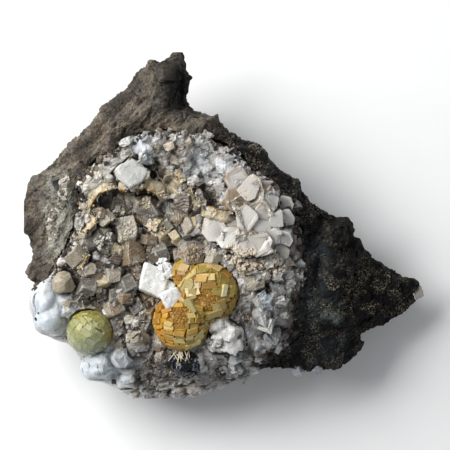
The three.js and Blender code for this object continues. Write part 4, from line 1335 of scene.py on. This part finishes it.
def make_cluster_base(colours):
    net = remeshed(cad_copy("prehnite_cluster"), 0.34 * MM)
    places = places_of(net)
    sugar = np.maximum(sugar_share(places, LOBES[0]), sugar_share(places, LOBES[1]))
    crumbs = grains(places, 0.8 * MM, 22)[1][:, 0]
    chunks = facets(places, 2.4 * MM, 0.3, 23)
    move_out(net, (chunks * (1 - sugar) + (crumbs * 0.4 + 0.1) * sugar - 0.45) * MM)
    places = places_of(net)
    cloud = clouds(places, 3 * MM)
    tone = blended(colours.groove, colours.yellow_prehnite, cloud * 0.6 + 0.2)
    brown = blended(linear("#946a2b"), linear("#c39a55"), crumbs * 0.5 + 0.5)
    tone = blended(tone, brown, sugar)
    store(net, "tone", tone)
    return net


def lobe_tone(place, colours, draw):
    """Olive in the middle, yellow to orange at the left and the right."""
    left = max(0.0, min(1.0, (-12 - place.x / MM) / 8))
    edge = max(0.0, min(1.0, (place.x / MM - 1.5) / 3))
    share = draw.random() * 0.6 + (left + edge) * 0.75 - 0.15
    tone = mixed(colours.olive_prehnite, colours.yellow_prehnite, share)
    if draw.random() > 0.8:
        tone = mixed(tone, linear("#dcca8c"), 0.65)
    return tone


def rows_round(radius, width, depth, sweep, draw):
    """Blocks in rows round a ball about the origin, as the crystals of prehnite stack: the
    way out to each, its width and its depth. The rows sweep so far to each side of up."""
    rows = round(1.5 * radius / depth)
    for row in range(-rows, rows + 1):
        latitude = row * depth / radius
        if abs(latitude) > POLE:
            continue
        reach = radius * math.cos(latitude)
        longitude = -sweep - draw.random() * width / reach
        while longitude < sweep:
            own = width * draw.uniform(0.6, 1.45)
            longitude += own / reach / 2
            north = latitude + draw.gauss(0, 0.12) * depth / radius
            yield Vector((
                math.cos(north) * math.sin(longitude),
                math.sin(north),
                math.cos(north) * math.cos(longitude),
            )), own, depth * draw.uniform(0.95, 1.3)
            longitude += own / reach / 2


def lobe_blocks(growth, lobe, sizes, colours, draw):
    centre, radius = lobe_vector(lobe), lobe["radius"] * MM
    others = [other for other in LOBES if other is not lobe]
    brick = lobe["brick"] * MM
    for up, width, depth in rows_round(radius, brick, brick * 0.62, 1.6, draw):
        place = centre + up * radius
        hidden = any(
            (place - lobe_vector(other)).length < (other["radius"] - 0.6) * MM
            for other in others
        )
        if hidden or sugar_share(np.array([place]), lobe)[0] > 0.6:
            continue
        tip = lobe["tip"]
        tipped = (up + Vector((draw.gauss(0, tip), draw.gauss(0, tip), 0))).normalized()
        sunken = place - up * (0.75 - draw.random() * lobe["uneven"]) * MM
        matrix = standing(sunken, tipped, draw.gauss(0, 0.1))
        block = block_shape(width - sizes.brick_gap, depth - sizes.brick_gap * 0.5, 1.8 * MM,
                            draw.uniform(-0.3, 0.3))
        chipped(block, draw, 2, 0.86, upright=True)
        worn(block, 0.14 * MM)
        tone = lobe_tone(place, colours, draw)
        seam = mixed(tone, colours.groove, draw.uniform(0.2, 0.75))
        growth.add(block, matrix, varied(tone, 0.12, draw), rim=seam, ring=0.28 * MM)
    for x, y, width, depth, heading, lift, tone in lobe["plates"]:
        flat = Vector((*spot(x, y), centre.z)) - centre
        flat.z = math.sqrt(max(radius ** 2 - flat.length_squared, (0.25 * radius) ** 2))
        up = flat.normalized()
        block = block_shape(width * MM, depth * MM, 2.2 * MM, 0.15)
        chipped(block, draw, 2, 0.88, upright=True)
        worn(block, 0.16 * MM)
        tipped = (up + Vector((draw.gauss(0, 0.05), draw.gauss(0, 0.05), 0))).normalized()
        matrix = standing(centre + up * (radius + (lift - 0.9) * MM), tipped,
                          math.radians(heading))
        body = linear(tone)
        seam = mixed(body, colours.groove, 0.2)
        growth.add(block, matrix, body, rim=seam, ring=0.3 * MM)


def lobe_crumbs(growth, lobe, draw):
    """Sugary crumbs in the broken patch of a lobe."""
    x, y, radius = lobe["sugar"]
    centre = lobe_vector(lobe)
    for _ in range(round(radius ** 2 * 44)):
        heading, far = draw.uniform(0, 2 * math.pi), radius * math.sqrt(draw.random()) * 1.05
        flat = Vector((
            (x + far * math.cos(heading)) * MM, (y + far * math.sin(heading)) * MM, centre.z,
        )) - centre
        flat.z = math.sqrt((lobe["radius"] * MM) ** 2 - flat.length_squared)
        place = centre + flat.normalized() * (lobe["radius"] - draw.uniform(0.1, 0.5)) * MM
        edge = draw.uniform(0.35, 0.6) * MM
        crumb = block_shape(edge, edge * draw.uniform(0.5, 1), edge * 0.7)
        matrix = turned(place, draw, 0, 90)
        tone = draw.choice(("#a67c38", "#9a7030", "#b48d49", "#ae8540", "#8f6829"))
        growth.add(crumb, matrix, varied(linear(tone), 0.1, draw))


def make_cluster(sizes, colours):
    # Prehnite: glassy to waxy, iron stains it ochre along its cracks, and light soaks in.
    glassy = translucent(0.38, 0.2, (1.0, 0.8, 0.35), 1.0, IOR=1.63)
    material = mass_material("Prehnite, iron-stained", glassy, 1300, 0.25, 0.08 * MM)
    new_piece("prehnite_lobes", make_cluster_base(colours), material, "prehnite_yellow",
              "prehnite_cluster")
    draw = random.Random(21)
    growth = Growth()
    for lobe in LOBES:
        lobe_blocks(growth, lobe, sizes, colours, draw)
    new_piece("prehnite_blocks", growth.finish(), material, "prehnite_yellow",
              "prehnite_cluster")
    crumbs = Growth()
    for lobe in LOBES[:2]:
        lobe_crumbs(crumbs, lobe, draw)
    # Sugary prehnite: a broken patch, granular and matt.
    dull = {"Roughness": 0.8, "Specular IOR Level": 0.2}
    matt = mass_material("Prehnite, sugary", dull, 1500, 0.2, 0.08 * MM)
    new_piece("prehnite_sugar", crumbs.finish(), matt, "prehnite_yellow", "prehnite_cluster")


def make_green_ball(sizes, colours):
    """Flat blocks in rows all round the ball, over a core that fills them."""
    low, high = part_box("prehnite_ball")
    centre = (low + high) / 2
    radius = (high.x - low.x) / 2 - 0.35 * MM
    core = cad_copy("prehnite_ball")
    bmesh.ops.translate(core, verts=core.verts, vec=-centre)
    bmesh.ops.scale(core, verts=core.verts, vec=(0.95, 0.95, 0.95))
    draw = random.Random(41)
    growth = Growth()
    growth.add(core, Matrix.Translation(centre), linear("#8a8544"))
    turn = Matrix.Rotation(math.radians(-35), 3, "Z") @ Matrix.Rotation(math.radians(20), 3, "X")
    facet = sizes.ball_facet
    for way, width, depth in rows_round(radius, facet, facet * 0.75, math.pi, draw):
        up = turn @ way
        tipped = (up + Vector([draw.gauss(0, 0.035) for _ in range(3)])).normalized()
        matrix = standing(centre + up * (radius - draw.uniform(0.8, 1.0) * MM), tipped,
                          math.radians(-35) + draw.gauss(0, 0.15))
        block = block_shape(width * 1.04, depth * 1.04, 2 * MM, draw.uniform(-0.3, 0.3))
        chipped(block, draw, 2, 0.86, upright=True)
        worn(block, 0.28 * MM)
        share = 0.5 + up.y * 0.6 + draw.gauss(0, 0.14)
        tone = mixed(linear("#97a083"), colours.green_prehnite, share)
        # Ochre on the facets that face right and on those that face the top, and on some at random.
        stain = max(up.x - 0.5, up.y - 0.6, 0) * 1.6 + max(draw.gauss(-0.3, 0.3), 0)
        tone = mixed(tone, linear("#a48d2e"), stain)
        rim = mixed(tone, linear("#d6d8a4"), draw.uniform(0, 0.45))
        growth.add(block, matrix, varied(tone, 0.07, draw), rim=rim, ring=0.2 * MM)
    # Pale prehnite: waxy and cloudy green, light soaks well into it.
    waxy = translucent(0.34, 0.55, (1.0, 1.0, 0.7), 2.0, IOR=1.63)
    material = mass_material("Prehnite, pale green", waxy, 1100, 0.16, 0.06 * MM)
    new_piece("green_ball", growth.finish(), material, "prehnite_green", "prehnite_ball")


# Blocks of calcite.

# The single blocks of calcite: piece, node, tone, spacing of the net, corners broken off, how
# far the breaks reach, turns of wear, width and height of the lumps, and height of the grain.
BLOCKS = [
    {"name": "white_block", "node": "white_calcite_block", "tone": "#f3f2ee", "net": 0.32,
     "breaks": (5, 0.88), "wear": 8, "lump": (3.6, 0.3), "grain": 0.16},
    {"name": "white_chip", "node": "white_calcite_chip", "tone": "#fbfcfc", "net": 0.28,
     "breaks": (6, 0.82), "wear": 8, "lump": (3, 0.24), "grain": 0.16},
    {"name": "jagged_calcite", "node": "white_calcite_cluster", "tone": "#dddbd6", "net": 0.32,
     "breaks": (5, 0.86), "wear": 12, "lump": (5.4, 0.7), "grain": 0.22},
    {"name": "milky_block", "node": "milky_calcite_block", "tone": "#cdcdc8", "net": 0.32,
     "breaks": (9, 0.84), "trim": (0.78, 0.86), "wear": 9, "lump": (4.4, 0.25), "grain": 0.12},
    {"name": "milky_foot", "node": "milky_calcite_block", "tone": "#bdb5a6", "net": 0.34,
     "breaks": (0, 1), "trim": (0.84, 0.94, 0.42), "wear": 2, "lump": (2.8, 0.7), "grain": 0.6},
    {"name": "beige_crystal", "node": "rounded_calcite", "tone": "#a79c88", "net": 0.26,
     "breaks": (6, 0.72), "wear": 2, "lump": (5, 0.2), "grain": 0.12},
    {"name": "edge_crystal_a", "node": "edge_crystal_left", "tone": "#a9adb3", "net": 0.2,
     "breaks": (4, 0.8), "wear": 5, "lump": (2.4, 0.5), "grain": 0.1},
    {"name": "edge_crystal_b", "node": "edge_crystal_right", "tone": "#8f9297", "net": 0.2,
     "breaks": (5, 0.75), "wear": 5, "lump": (2.4, 0.5), "grain": 0.1},
    {"name": "tip_crystal_a", "node": "tip_crystal", "tone": "#a39c93", "net": 0.2,
     "breaks": (4, 0.8), "wear": 5, "lump": (2.4, 0.5), "grain": 0.1},
]


def make_blocks(sizes, colours):
    # Snow-white to milky calcite: bright, cloudy, with a soft gloss on its cleavage faces.
    material = mass_material(
        "Calcite, snow white", translucent(0.3, 0.5, (1.0, 1.0, 0.95), 1.8), 1500, 0.06,
        0.04 * MM,
    )
    draw = random.Random(15)
    for block in BLOCKS:
        low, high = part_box(block["node"])
        middle = (low + high) / 2
        shape = cad_copy(block["node"])
        bmesh.ops.translate(shape, verts=shape.verts, vec=-middle)
        if "trim" in block:
            for axis, share in enumerate(block["trim"]):
                for side in (-1, 1):
                    away = Vector((0, 0, 0))
                    away[axis] = side
                    cut(shape, away * (high - middle)[axis] * share, away)
        chipped(shape, draw, *block["breaks"])
        bmesh.ops.translate(shape, verts=shape.verts, vec=middle)
        net = rounded(remeshed(shape, block["net"] * MM), block["wear"])
        places = places_of(net)
        width, height = block["lump"]
        lumps = -breaks(places, width * MM, 0.3, 0.34, 51) * height
        chips = facets(places, 1.8 * MM, block["grain"] / 0.7, 52)
        move_out(net, (lumps + chips) * MM)
        cloud = clouds(places, 3 * MM)
        base = np.array(linear(block["tone"]))
        tone = blended(base, base * 0.8, cloud * 0.6 + 0.2)
        tone[:, 3] = 1
        store(net, "tone", tone)
        slot = "beige_calcite" if block["name"] == "beige_crystal" else "white_calcite"
        new_piece(block["name"], net, material, slot, block["node"])


def make_pale_plates(sizes, colours):
    """Plates fitted to each other over the lining, each tilted its own way."""
    node = bmesh.new()
    node.from_mesh(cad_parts["pale_calcite_cluster"].data)
    solid = BVHTree.FromBMesh(node)
    node.free()
    ground = Ground("lining")
    draw = random.Random(33)
    growth = Growth()
    level = PLATE_LEVEL * MM
    seeds = [Vector((*spot(plate[0], plate[1]), level)) for plate in PALE_PLATES]
    for place, (_, _, lift, tilt, heading, tone) in zip(seeds, PALE_PLATES):
        above, _, _, _ = solid.ray_cast(Vector((place.x, place.y, 1)), Vector((0, 0, -1)))
        under = ground.below(place.x, place.y)[0].z
        top = max(above.z if above else 0, under + 2.2 * MM)
        top = min(top, PLATE_TOP * MM) + (lift - 0.4) * MM
        matrix = posed(place, draw.uniform(0, 50), tilt * 0.55, heading)
        near = [seed for seed in seeds if seed != place]
        # Towards the basalt the plates shrink to lumps with less pink in them.
        reach, pink = (5.0, 0.6) if place.x < 15 * MM else (3.4, 0.1)
        reach *= MM
        block = fitted(matrix, near, reach, top - level, top - under + 4 * MM, -1.1 * MM)
        chipped(block, draw, 4, draw.uniform(0.8, 0.92), upright=True)
        warped(block, 0.16 * MM, draw)
        worn(block, 0.5 * MM)
        warm = mixed(linear(tone), linear("#d6b594"), pink)
        body = varied(warm, 0.1, draw, draw.choice((0, 0.5, 1))) * np.array([0.86, 0.84, 0.8, 1])
        rim = mixed(body, linear("#fbf7ef"), draw.uniform(0.6, 1.0))
        rim[3] = body[3]
        growth.add(block, matrix, body, rim=rim, ring=draw.uniform(0.7, 1.4) * MM)
    bed = rounded(remeshed(cad_copy("pale_calcite_cluster"), 0.5 * MM), 6)
    places = places_of(bed)
    crumbs = -breaks(places, 2.6 * MM, 0.3, 0.36, 34) + facets(places, 1.1 * MM, 0.3, 35)
    move_out(bed, (crumbs * 0.8 - 1.2) * MM)
    _, own, _ = grains(places, 1.6 * MM, 36)
    store(bed, "tone", blended(linear("#ddd3c4"), linear("#b5a797"), own[:, 0]))
    store(bed, "local", places / MM)
    growth.shape.from_mesh(bed)
    bpy.data.meshes.remove(bed)
    # Pinkish calcite: translucent plates, milky inside with brighter broken rims.
    clear = translucent(0.28, 0.5, (1.0, 0.88, 0.78), 1.8, IOR=1.6)
    clear["Transmission Weight"] = 0.3
    material = crystal_material("Calcite, pinkish plates", clear, 0.2, 0.25, 0.12, 0.02 * MM)
    new_piece("pale_plates", growth.finish(), material, "pale_calcite", "pale_calcite_cluster")


def make_frost(sizes, colours):
    """Sugary crumbs that sit in patches on the larger crystals, between the plates and along
    the ledges."""
    ground = Ground("lining", "rhombs", "white_block", "jagged_calcite", "pale_plates",
                    "ledges")
    draw = random.Random(37)
    growth = Growth()
    for (x, y), reach, count, largest, tone in FROST:
        for _ in range(count):
            heading, far = draw.uniform(0, 2 * math.pi), reach * math.sqrt(draw.random())
            found = ground.below(*spot(x + far * math.cos(heading), y + far * math.sin(heading)))
            if found is None:
                continue
            crumb = uneven_rhomb(draw.uniform(0.4, 1) * largest * MM, 0.6, draw)
            chipped(crumb, draw, 2, 0.8)
            matrix = turned(found[0], draw, 0, 80)
            growth.add(crumb, matrix, varied(linear(tone), 0.12, draw))
    for _ in range(SEAM_CRUMBS):
        x, y = draw.uniform(-5, 21), draw.uniform(-12, 17)
        nearest = sorted(math.hypot(x - plate[0], y - plate[1]) for plate in PALE_PLATES)
        found = ground.below(*spot(x, y))
        if nearest[0] > 4.5 or nearest[1] - nearest[0] > 0.9 or found is None:
            continue
        edge = draw.uniform(0.3, 0.8) * MM
        crumb = uneven_rhomb(edge, 0.6, draw)
        matrix = turned(found[0] - Vector((0, 0, 0.3 * edge)), draw, 0, 80)
        growth.add(crumb, matrix, varied(colours.frost_white, 0.12, draw))
    for x, y in [point for ledge in LEDGES for point in ledge["line"]]:
        for _ in range(LEDGE_CRUMBS):
            found = ground.below(*spot(x + draw.gauss(0, 0.8), y + draw.gauss(0, 0.8)))
            if found is None:
                continue
            edge = draw.uniform(0.3, 0.65) * MM
            crumb = rhomb_shape(edge, edge * 0.8, edge * draw.uniform(0.5, 1))
            matrix = turned(found[0], draw, 0, 80)
            tone = draw.choice(("#dccfb2", "#cdbf9c", "#e3dccb", "#c4ab78"))
            growth.add(crumb, matrix, varied(linear(tone), 0.12, draw))
    # Sugary calcite crumbs, white to cream: cloudy, with little gloss.
    cloudy = translucent(0.55, 0.3, (1.0, 0.95, 0.9), 0.8)
    cloudy["Specular IOR Level"] = 0.35
    material = mass_material("Calcite, frost crumbs", cloudy, 1500, 0.12, 0.06 * MM)
    new_piece("frost_crumbs", growth.finish(), material, "calcite_lining", "calcite_crust")


# Dark mineral.

def make_dark_ball(sizes, colours):
    net = remeshed(cad_copy("dark_ball"), 0.24 * MM)
    places = places_of(net)
    move_out(net, facets(places, 1.6 * MM, 0.6, 61) * MM)
    _, own, _ = grains(places, 0.9 * MM, 62)
    tone = blended(linear("#0b0d11"), linear("#9aa3b3"), (own[:, 0] - 0.74) * 3)
    store(net, "tone", tone)
    # A black, glassy mineral with small pale flecks.
    material = mass_material("Dark glossy mineral", {"Roughness": 0.18}, 1500, 0.2, 0.05 * MM)
    new_piece("dark_glossy_ball", net, material, "dark_mineral", "dark_ball")


def make_fibres(sizes, colours):
    """Cream needles that fan over the dark ball from its upper left."""
    draw = random.Random(5)
    growth = Growth()
    low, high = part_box("dark_ball")
    middle = (low + high) / 2
    root = middle + Vector((-2.0, 4.0, 3.0)) * MM
    for index in range(NEEDLES):
        heading = math.radians(-122 + index * 6.2 + draw.gauss(0, 5))
        reach = draw.uniform(3.0, 5.0) * MM
        needle = bmesh.new()
        bmesh.ops.create_cone(needle, segments=5, radius1=0.3 * MM, radius2=0.08 * MM,
                              depth=reach, cap_ends=True)
        bmesh.ops.translate(needle, verts=needle.verts, vec=(0, 0, reach / 2))
        bmesh.ops.bisect_plane(needle, geom=needle.verts[:] + needle.edges[:] + needle.faces[:],
                               plane_co=(0, 0, reach * 0.5), plane_no=(0, 0, 1))
        bmesh.ops.rotate(needle, verts=needle.verts, matrix=Matrix.Rotation(
            math.radians(74), 3, "Y"))
        start = root + Vector((draw.gauss(0, 1.2), draw.gauss(0, 0.5), draw.gauss(0, 0.3))) * MM
        matrix = Matrix.Translation(start) @ Matrix.Rotation(heading, 4, "Z")
        growth.add(needle, matrix, varied(linear("#d3c7ab"), 0.15, draw))
    # Silky needles, cream and slightly glossy.
    material = mass_material("Mineral needles, cream", {"Roughness": 0.4}, 1500, 0.12, 0.03 * MM)
    new_piece("needles", growth.finish(), material, "dark_mineral")


def make_knob(sizes, colours):
    knob = remeshed(cad_copy("brown_knob"), 0.2 * MM)
    places = places_of(knob)
    move_out(knob, facets(places, 1.0 * MM, 0.9, 64) * MM)
    _, own, _ = grains(places, 0.8 * MM, 63)
    tone = blended(linear("#17120f"), linear("#4a3b2f"), own[:, 0] * 0.5 + 0.4)
    store(knob, "tone", tone)
    # A small brown crystal knot, dull.
    material = mass_material("Brown mineral", {"Roughness": 0.5}, 1500, 0.2, 0.1 * MM)
    new_piece("knob", knob, material, "brown_mineral", "brown_knob")


def make_dirt_and_shade(sizes, colours):
    """Darkens the low places of the lining and the foot of its crystals with brown: partly settled
    grime, partly painted shade in the hollows and crevices.
    """
    names = ("lining", "rhombs", "small_rhombs", "ledges", "margin_crumbs", "frost_crumbs",
             "pale_plates", "jagged_calcite", "milky_foot", "beige_crystal")
    pieces = [bpy.data.objects[name] for name in names]
    fine = HeightNet(0.6 * MM, pieces)
    coarse = HeightNet(1.0 * MM, pieces)
    for piece in pieces:
        places = places_of(piece.data)
        share = np.zeros(len(places))
        for net, reach, depth, most in (
            (fine, 1.2, 0.9, 0.45), (coarse, 2.5, 1.8, 0.6), (coarse, 5.0, 4.0, 0.4),
        ):
            low = net.banks(places, reach * MM) - places[:, 2]
            share += np.clip(low / (depth * MM), 0, 1) * most
        kept = stored_tone(piece.data)
        share *= 0.5 if piece.name == "pale_plates" else 1
        if piece.name == "lining":
            normals = normals_of(piece.data)
            share *= 0.25 + 0.75 * np.clip(normals[:, 2] * 2, 0, 1)
            still = np.zeros((len(places), 2))
            for patch in MASSIVE_PATCHES:
                share *= 1 - patch_share(places, patch, still) * 0.65
        # Painted shade: darker towards the lower right, where the light falls off.
        share *= 1 + np.clip((places[:, 0] - places[:, 1]) / (60 * MM), 0, 1) * 0.6
        tone = blended(kept, colours.dirt, np.clip(share, 0, 0.94))
        tone[:, 3] = kept[:, 3]
        store(piece.data, "tone", tone)


def make_stage(sizes, colours):
    bpy.ops.mesh.primitive_plane_add(size=FLOOR_SIZE, location=(0, 0, FLOOR_LEVEL))
    floor = bpy.context.object
    floor.name = "floor"
    # Pale paper, matt, with a faint fibre.
    material, tree, shader = new_material("Paper, pale", {"Roughness": 0.9})
    place = add_node(tree, "ShaderNodeTexCoord").outputs["Object"]
    fibre = noise_share(tree, place, 60, 4)
    colour = add_node(
        tree, "ShaderNodeMix", {6: linear("#fafaf9"), 7: linear("#fefefd")},
        {0: fibre}, data_type="RGBA",
    )
    tree.links.new(colour.outputs[2], shader.inputs["Base Color"])
    floor.data.materials.append(material)
    floor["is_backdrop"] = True
    for name, place, size, power in LIGHTS:
        data = bpy.data.lights.new(name, "AREA")
        data.size = size
        data.energy = power
        light = bpy.data.objects.new(name, data)
        bpy.context.scene.collection.objects.link(light)
        light.location = place
        aim = Vector((0, 0, LOOKED_AT)) - Vector(place)
        light.rotation_euler = aim.to_track_quat("-Z", "Y").to_euler()
    world = bpy.data.worlds.new("studio")
    world.use_nodes = True
    world.node_tree.nodes["Background"].inputs["Color"].default_value = linear("#e4e9ee")
    world.node_tree.nodes["Background"].inputs["Strength"].default_value = 0.32
    bpy.context.scene.world = world
    view = bpy.data.cameras.new("camera")
    view.sensor_width = SENSOR
    view.lens = SENSOR * (CAMERA_HEIGHT - LOOKED_AT) / PICTURE_WIDTH
    view.clip_end = 20
    camera = bpy.data.objects.new("camera", view)
    bpy.context.scene.collection.objects.link(camera)
    camera.location = (*spot(0, 0), CAMERA_HEIGHT)
    bpy.context.scene.camera = camera
    bpy.context.scene.view_settings.view_transform = "Standard"


# The add-on's operators, panel and registration.

def settings(context):
    """The specimen's sizes and its colours."""
    return context.scene.specimen_sizes, context.scene.specimen_colours


class SPECIMEN_OT_stage(bpy.types.Operator):
    """Adds the pale floor, the soft lights and the camera above the specimen"""

    bl_idname = "specimen.stage"
    bl_label = "Stage"

    def execute(self, context):
        make_stage(*settings(context))
        return {"FINISHED"}


class SPECIMEN_OT_basalt(bpy.types.Operator):
    """Breaks the basalt's surface into flat breaks and colours it"""

    bl_idname = "specimen.basalt"
    bl_label = "Basalt"

    def execute(self, context):
        make_basalt(*settings(context))
        return {"FINISHED"}


class SPECIMEN_OT_lining(bpy.types.Operator):
    """Builds the massive calcite that lines the hollow"""

    bl_idname = "specimen.lining"
    bl_label = "Calcite lining"

    def execute(self, context):
        make_lining(*settings(context))
        return {"FINISHED"}


class SPECIMEN_OT_rhombs(bpy.types.Operator):
    """Grows the larger rhombs of calcite on the lining"""

    bl_idname = "specimen.rhombs"
    bl_label = "Rhombs"

    def execute(self, context):
        make_rhombs(*settings(context))
        return {"FINISHED"}


class SPECIMEN_OT_small_rhombs(bpy.types.Operator):
    """Grows small rhombs and sugary grains over the lining"""

    bl_idname = "specimen.small_rhombs"
    bl_label = "Small rhombs"

    def execute(self, context):
        make_small_rhombs(*settings(context))
        return {"FINISHED"}


class SPECIMEN_OT_margin(bpy.types.Operator):
    """Strews crumbs where the lining meets the basalt, and along the white vein"""

    bl_idname = "specimen.margin"
    bl_label = "Margin crumbs"

    def execute(self, context):
        make_margin(*settings(context))
        return {"FINISHED"}


class SPECIMEN_OT_ledges(bpy.types.Operator):
    """Raises the thin ochre ledges at the hollow's rim"""

    bl_idname = "specimen.ledges"
    bl_label = "Ochre ledges"

    def execute(self, context):
        make_ledges(*settings(context))
        return {"FINISHED"}


class SPECIMEN_OT_blocks(bpy.types.Operator):
    """Builds the single blocks of white, milky and beige calcite"""

    bl_idname = "specimen.blocks"
    bl_label = "Calcite blocks"

    def execute(self, context):
        make_blocks(*settings(context))
        return {"FINISHED"}


class SPECIMEN_OT_pale_plates(bpy.types.Operator):
    """Builds the pinkish plates of calcite"""

    bl_idname = "specimen.pale_plates"
    bl_label = "Pale plates"

    def execute(self, context):
        make_pale_plates(*settings(context))
        return {"FINISHED"}


class SPECIMEN_OT_frost(bpy.types.Operator):
    """Strews sugary crumbs on the larger crystals"""

    bl_idname = "specimen.frost"
    bl_label = "Frost crumbs"

    def execute(self, context):
        make_frost(*settings(context))
        return {"FINISHED"}


class SPECIMEN_OT_dirt_and_shade(bpy.types.Operator):
    """Darkens the low places of the lining with settled grime and painted shade"""

    bl_idname = "specimen.dirt"
    bl_label = "Dirt"

    def execute(self, context):
        make_dirt_and_shade(*settings(context))
        return {"FINISHED"}


class SPECIMEN_OT_cluster(bpy.types.Operator):
    """Builds the lobes of yellow prehnite and the blocks on them"""

    bl_idname = "specimen.cluster"
    bl_label = "Yellow prehnite"

    def execute(self, context):
        make_cluster(*settings(context))
        return {"FINISHED"}


class SPECIMEN_OT_green_ball(bpy.types.Operator):
    """Builds the round ball of pale green prehnite"""

    bl_idname = "specimen.green_ball"
    bl_label = "Green prehnite"

    def execute(self, context):
        make_green_ball(*settings(context))
        return {"FINISHED"}


class SPECIMEN_OT_dark_ball(bpy.types.Operator):
    """Builds the dark glossy ball"""

    bl_idname = "specimen.dark_ball"
    bl_label = "Dark ball"

    def execute(self, context):
        make_dark_ball(*settings(context))
        return {"FINISHED"}


class SPECIMEN_OT_fibres(bpy.types.Operator):
    """Fans cream needles over the dark ball"""

    bl_idname = "specimen.fibres"
    bl_label = "Needles"

    def execute(self, context):
        make_fibres(*settings(context))
        return {"FINISHED"}


class SPECIMEN_OT_knob(bpy.types.Operator):
    """Builds the small brown knob"""

    bl_idname = "specimen.knob"
    bl_label = "Brown knob"

    def execute(self, context):
        make_knob(*settings(context))
        return {"FINISHED"}


OPERATORS = (
    SPECIMEN_OT_stage,
    SPECIMEN_OT_basalt,
    SPECIMEN_OT_lining,
    SPECIMEN_OT_rhombs,
    SPECIMEN_OT_small_rhombs,
    SPECIMEN_OT_margin,
    SPECIMEN_OT_ledges,
    SPECIMEN_OT_blocks,
    SPECIMEN_OT_pale_plates,
    SPECIMEN_OT_frost,
    SPECIMEN_OT_dirt_and_shade,
    SPECIMEN_OT_cluster,
    SPECIMEN_OT_green_ball,
    SPECIMEN_OT_dark_ball,
    SPECIMEN_OT_fibres,
    SPECIMEN_OT_knob,
)


class SPECIMEN_PT_panel(bpy.types.Panel):
    """Lists the specimen's steps and settings"""

    bl_idname = "SPECIMEN_PT_panel"
    bl_label = "Prehnite specimen"
    bl_space_type = "VIEW_3D"
    bl_region_type = "UI"
    bl_category = "Specimen"

    def draw(self, context):
        for step in OPERATORS:
            self.layout.operator(step.bl_idname)
        for group in settings(context):
            for name in group.__annotations__:
                self.layout.prop(group, name)


CLASSES = (SpecimenSizes, SpecimenColours, *OPERATORS, SPECIMEN_PT_panel)


def register():
    for item in CLASSES:
        bpy.utils.register_class(item)
    bpy.types.Scene.specimen_sizes = PointerProperty(type=SpecimenSizes)
    bpy.types.Scene.specimen_colours = PointerProperty(type=SpecimenColours)


def unregister():
    del bpy.types.Scene.specimen_colours
    del bpy.types.Scene.specimen_sizes
    for item in reversed(CLASSES):
        bpy.utils.unregister_class(item)


def main():
    register()
    for step in OPERATORS:
        group, name = step.bl_idname.split(".")
        getattr(getattr(bpy.ops, group), name)()
    boxes = {"cad": CAD_BOX, "visual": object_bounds()}
    {name: [list(corner) for corner in box] for name, box in boxes.items()}


if __name__ == "__main__":
    main()
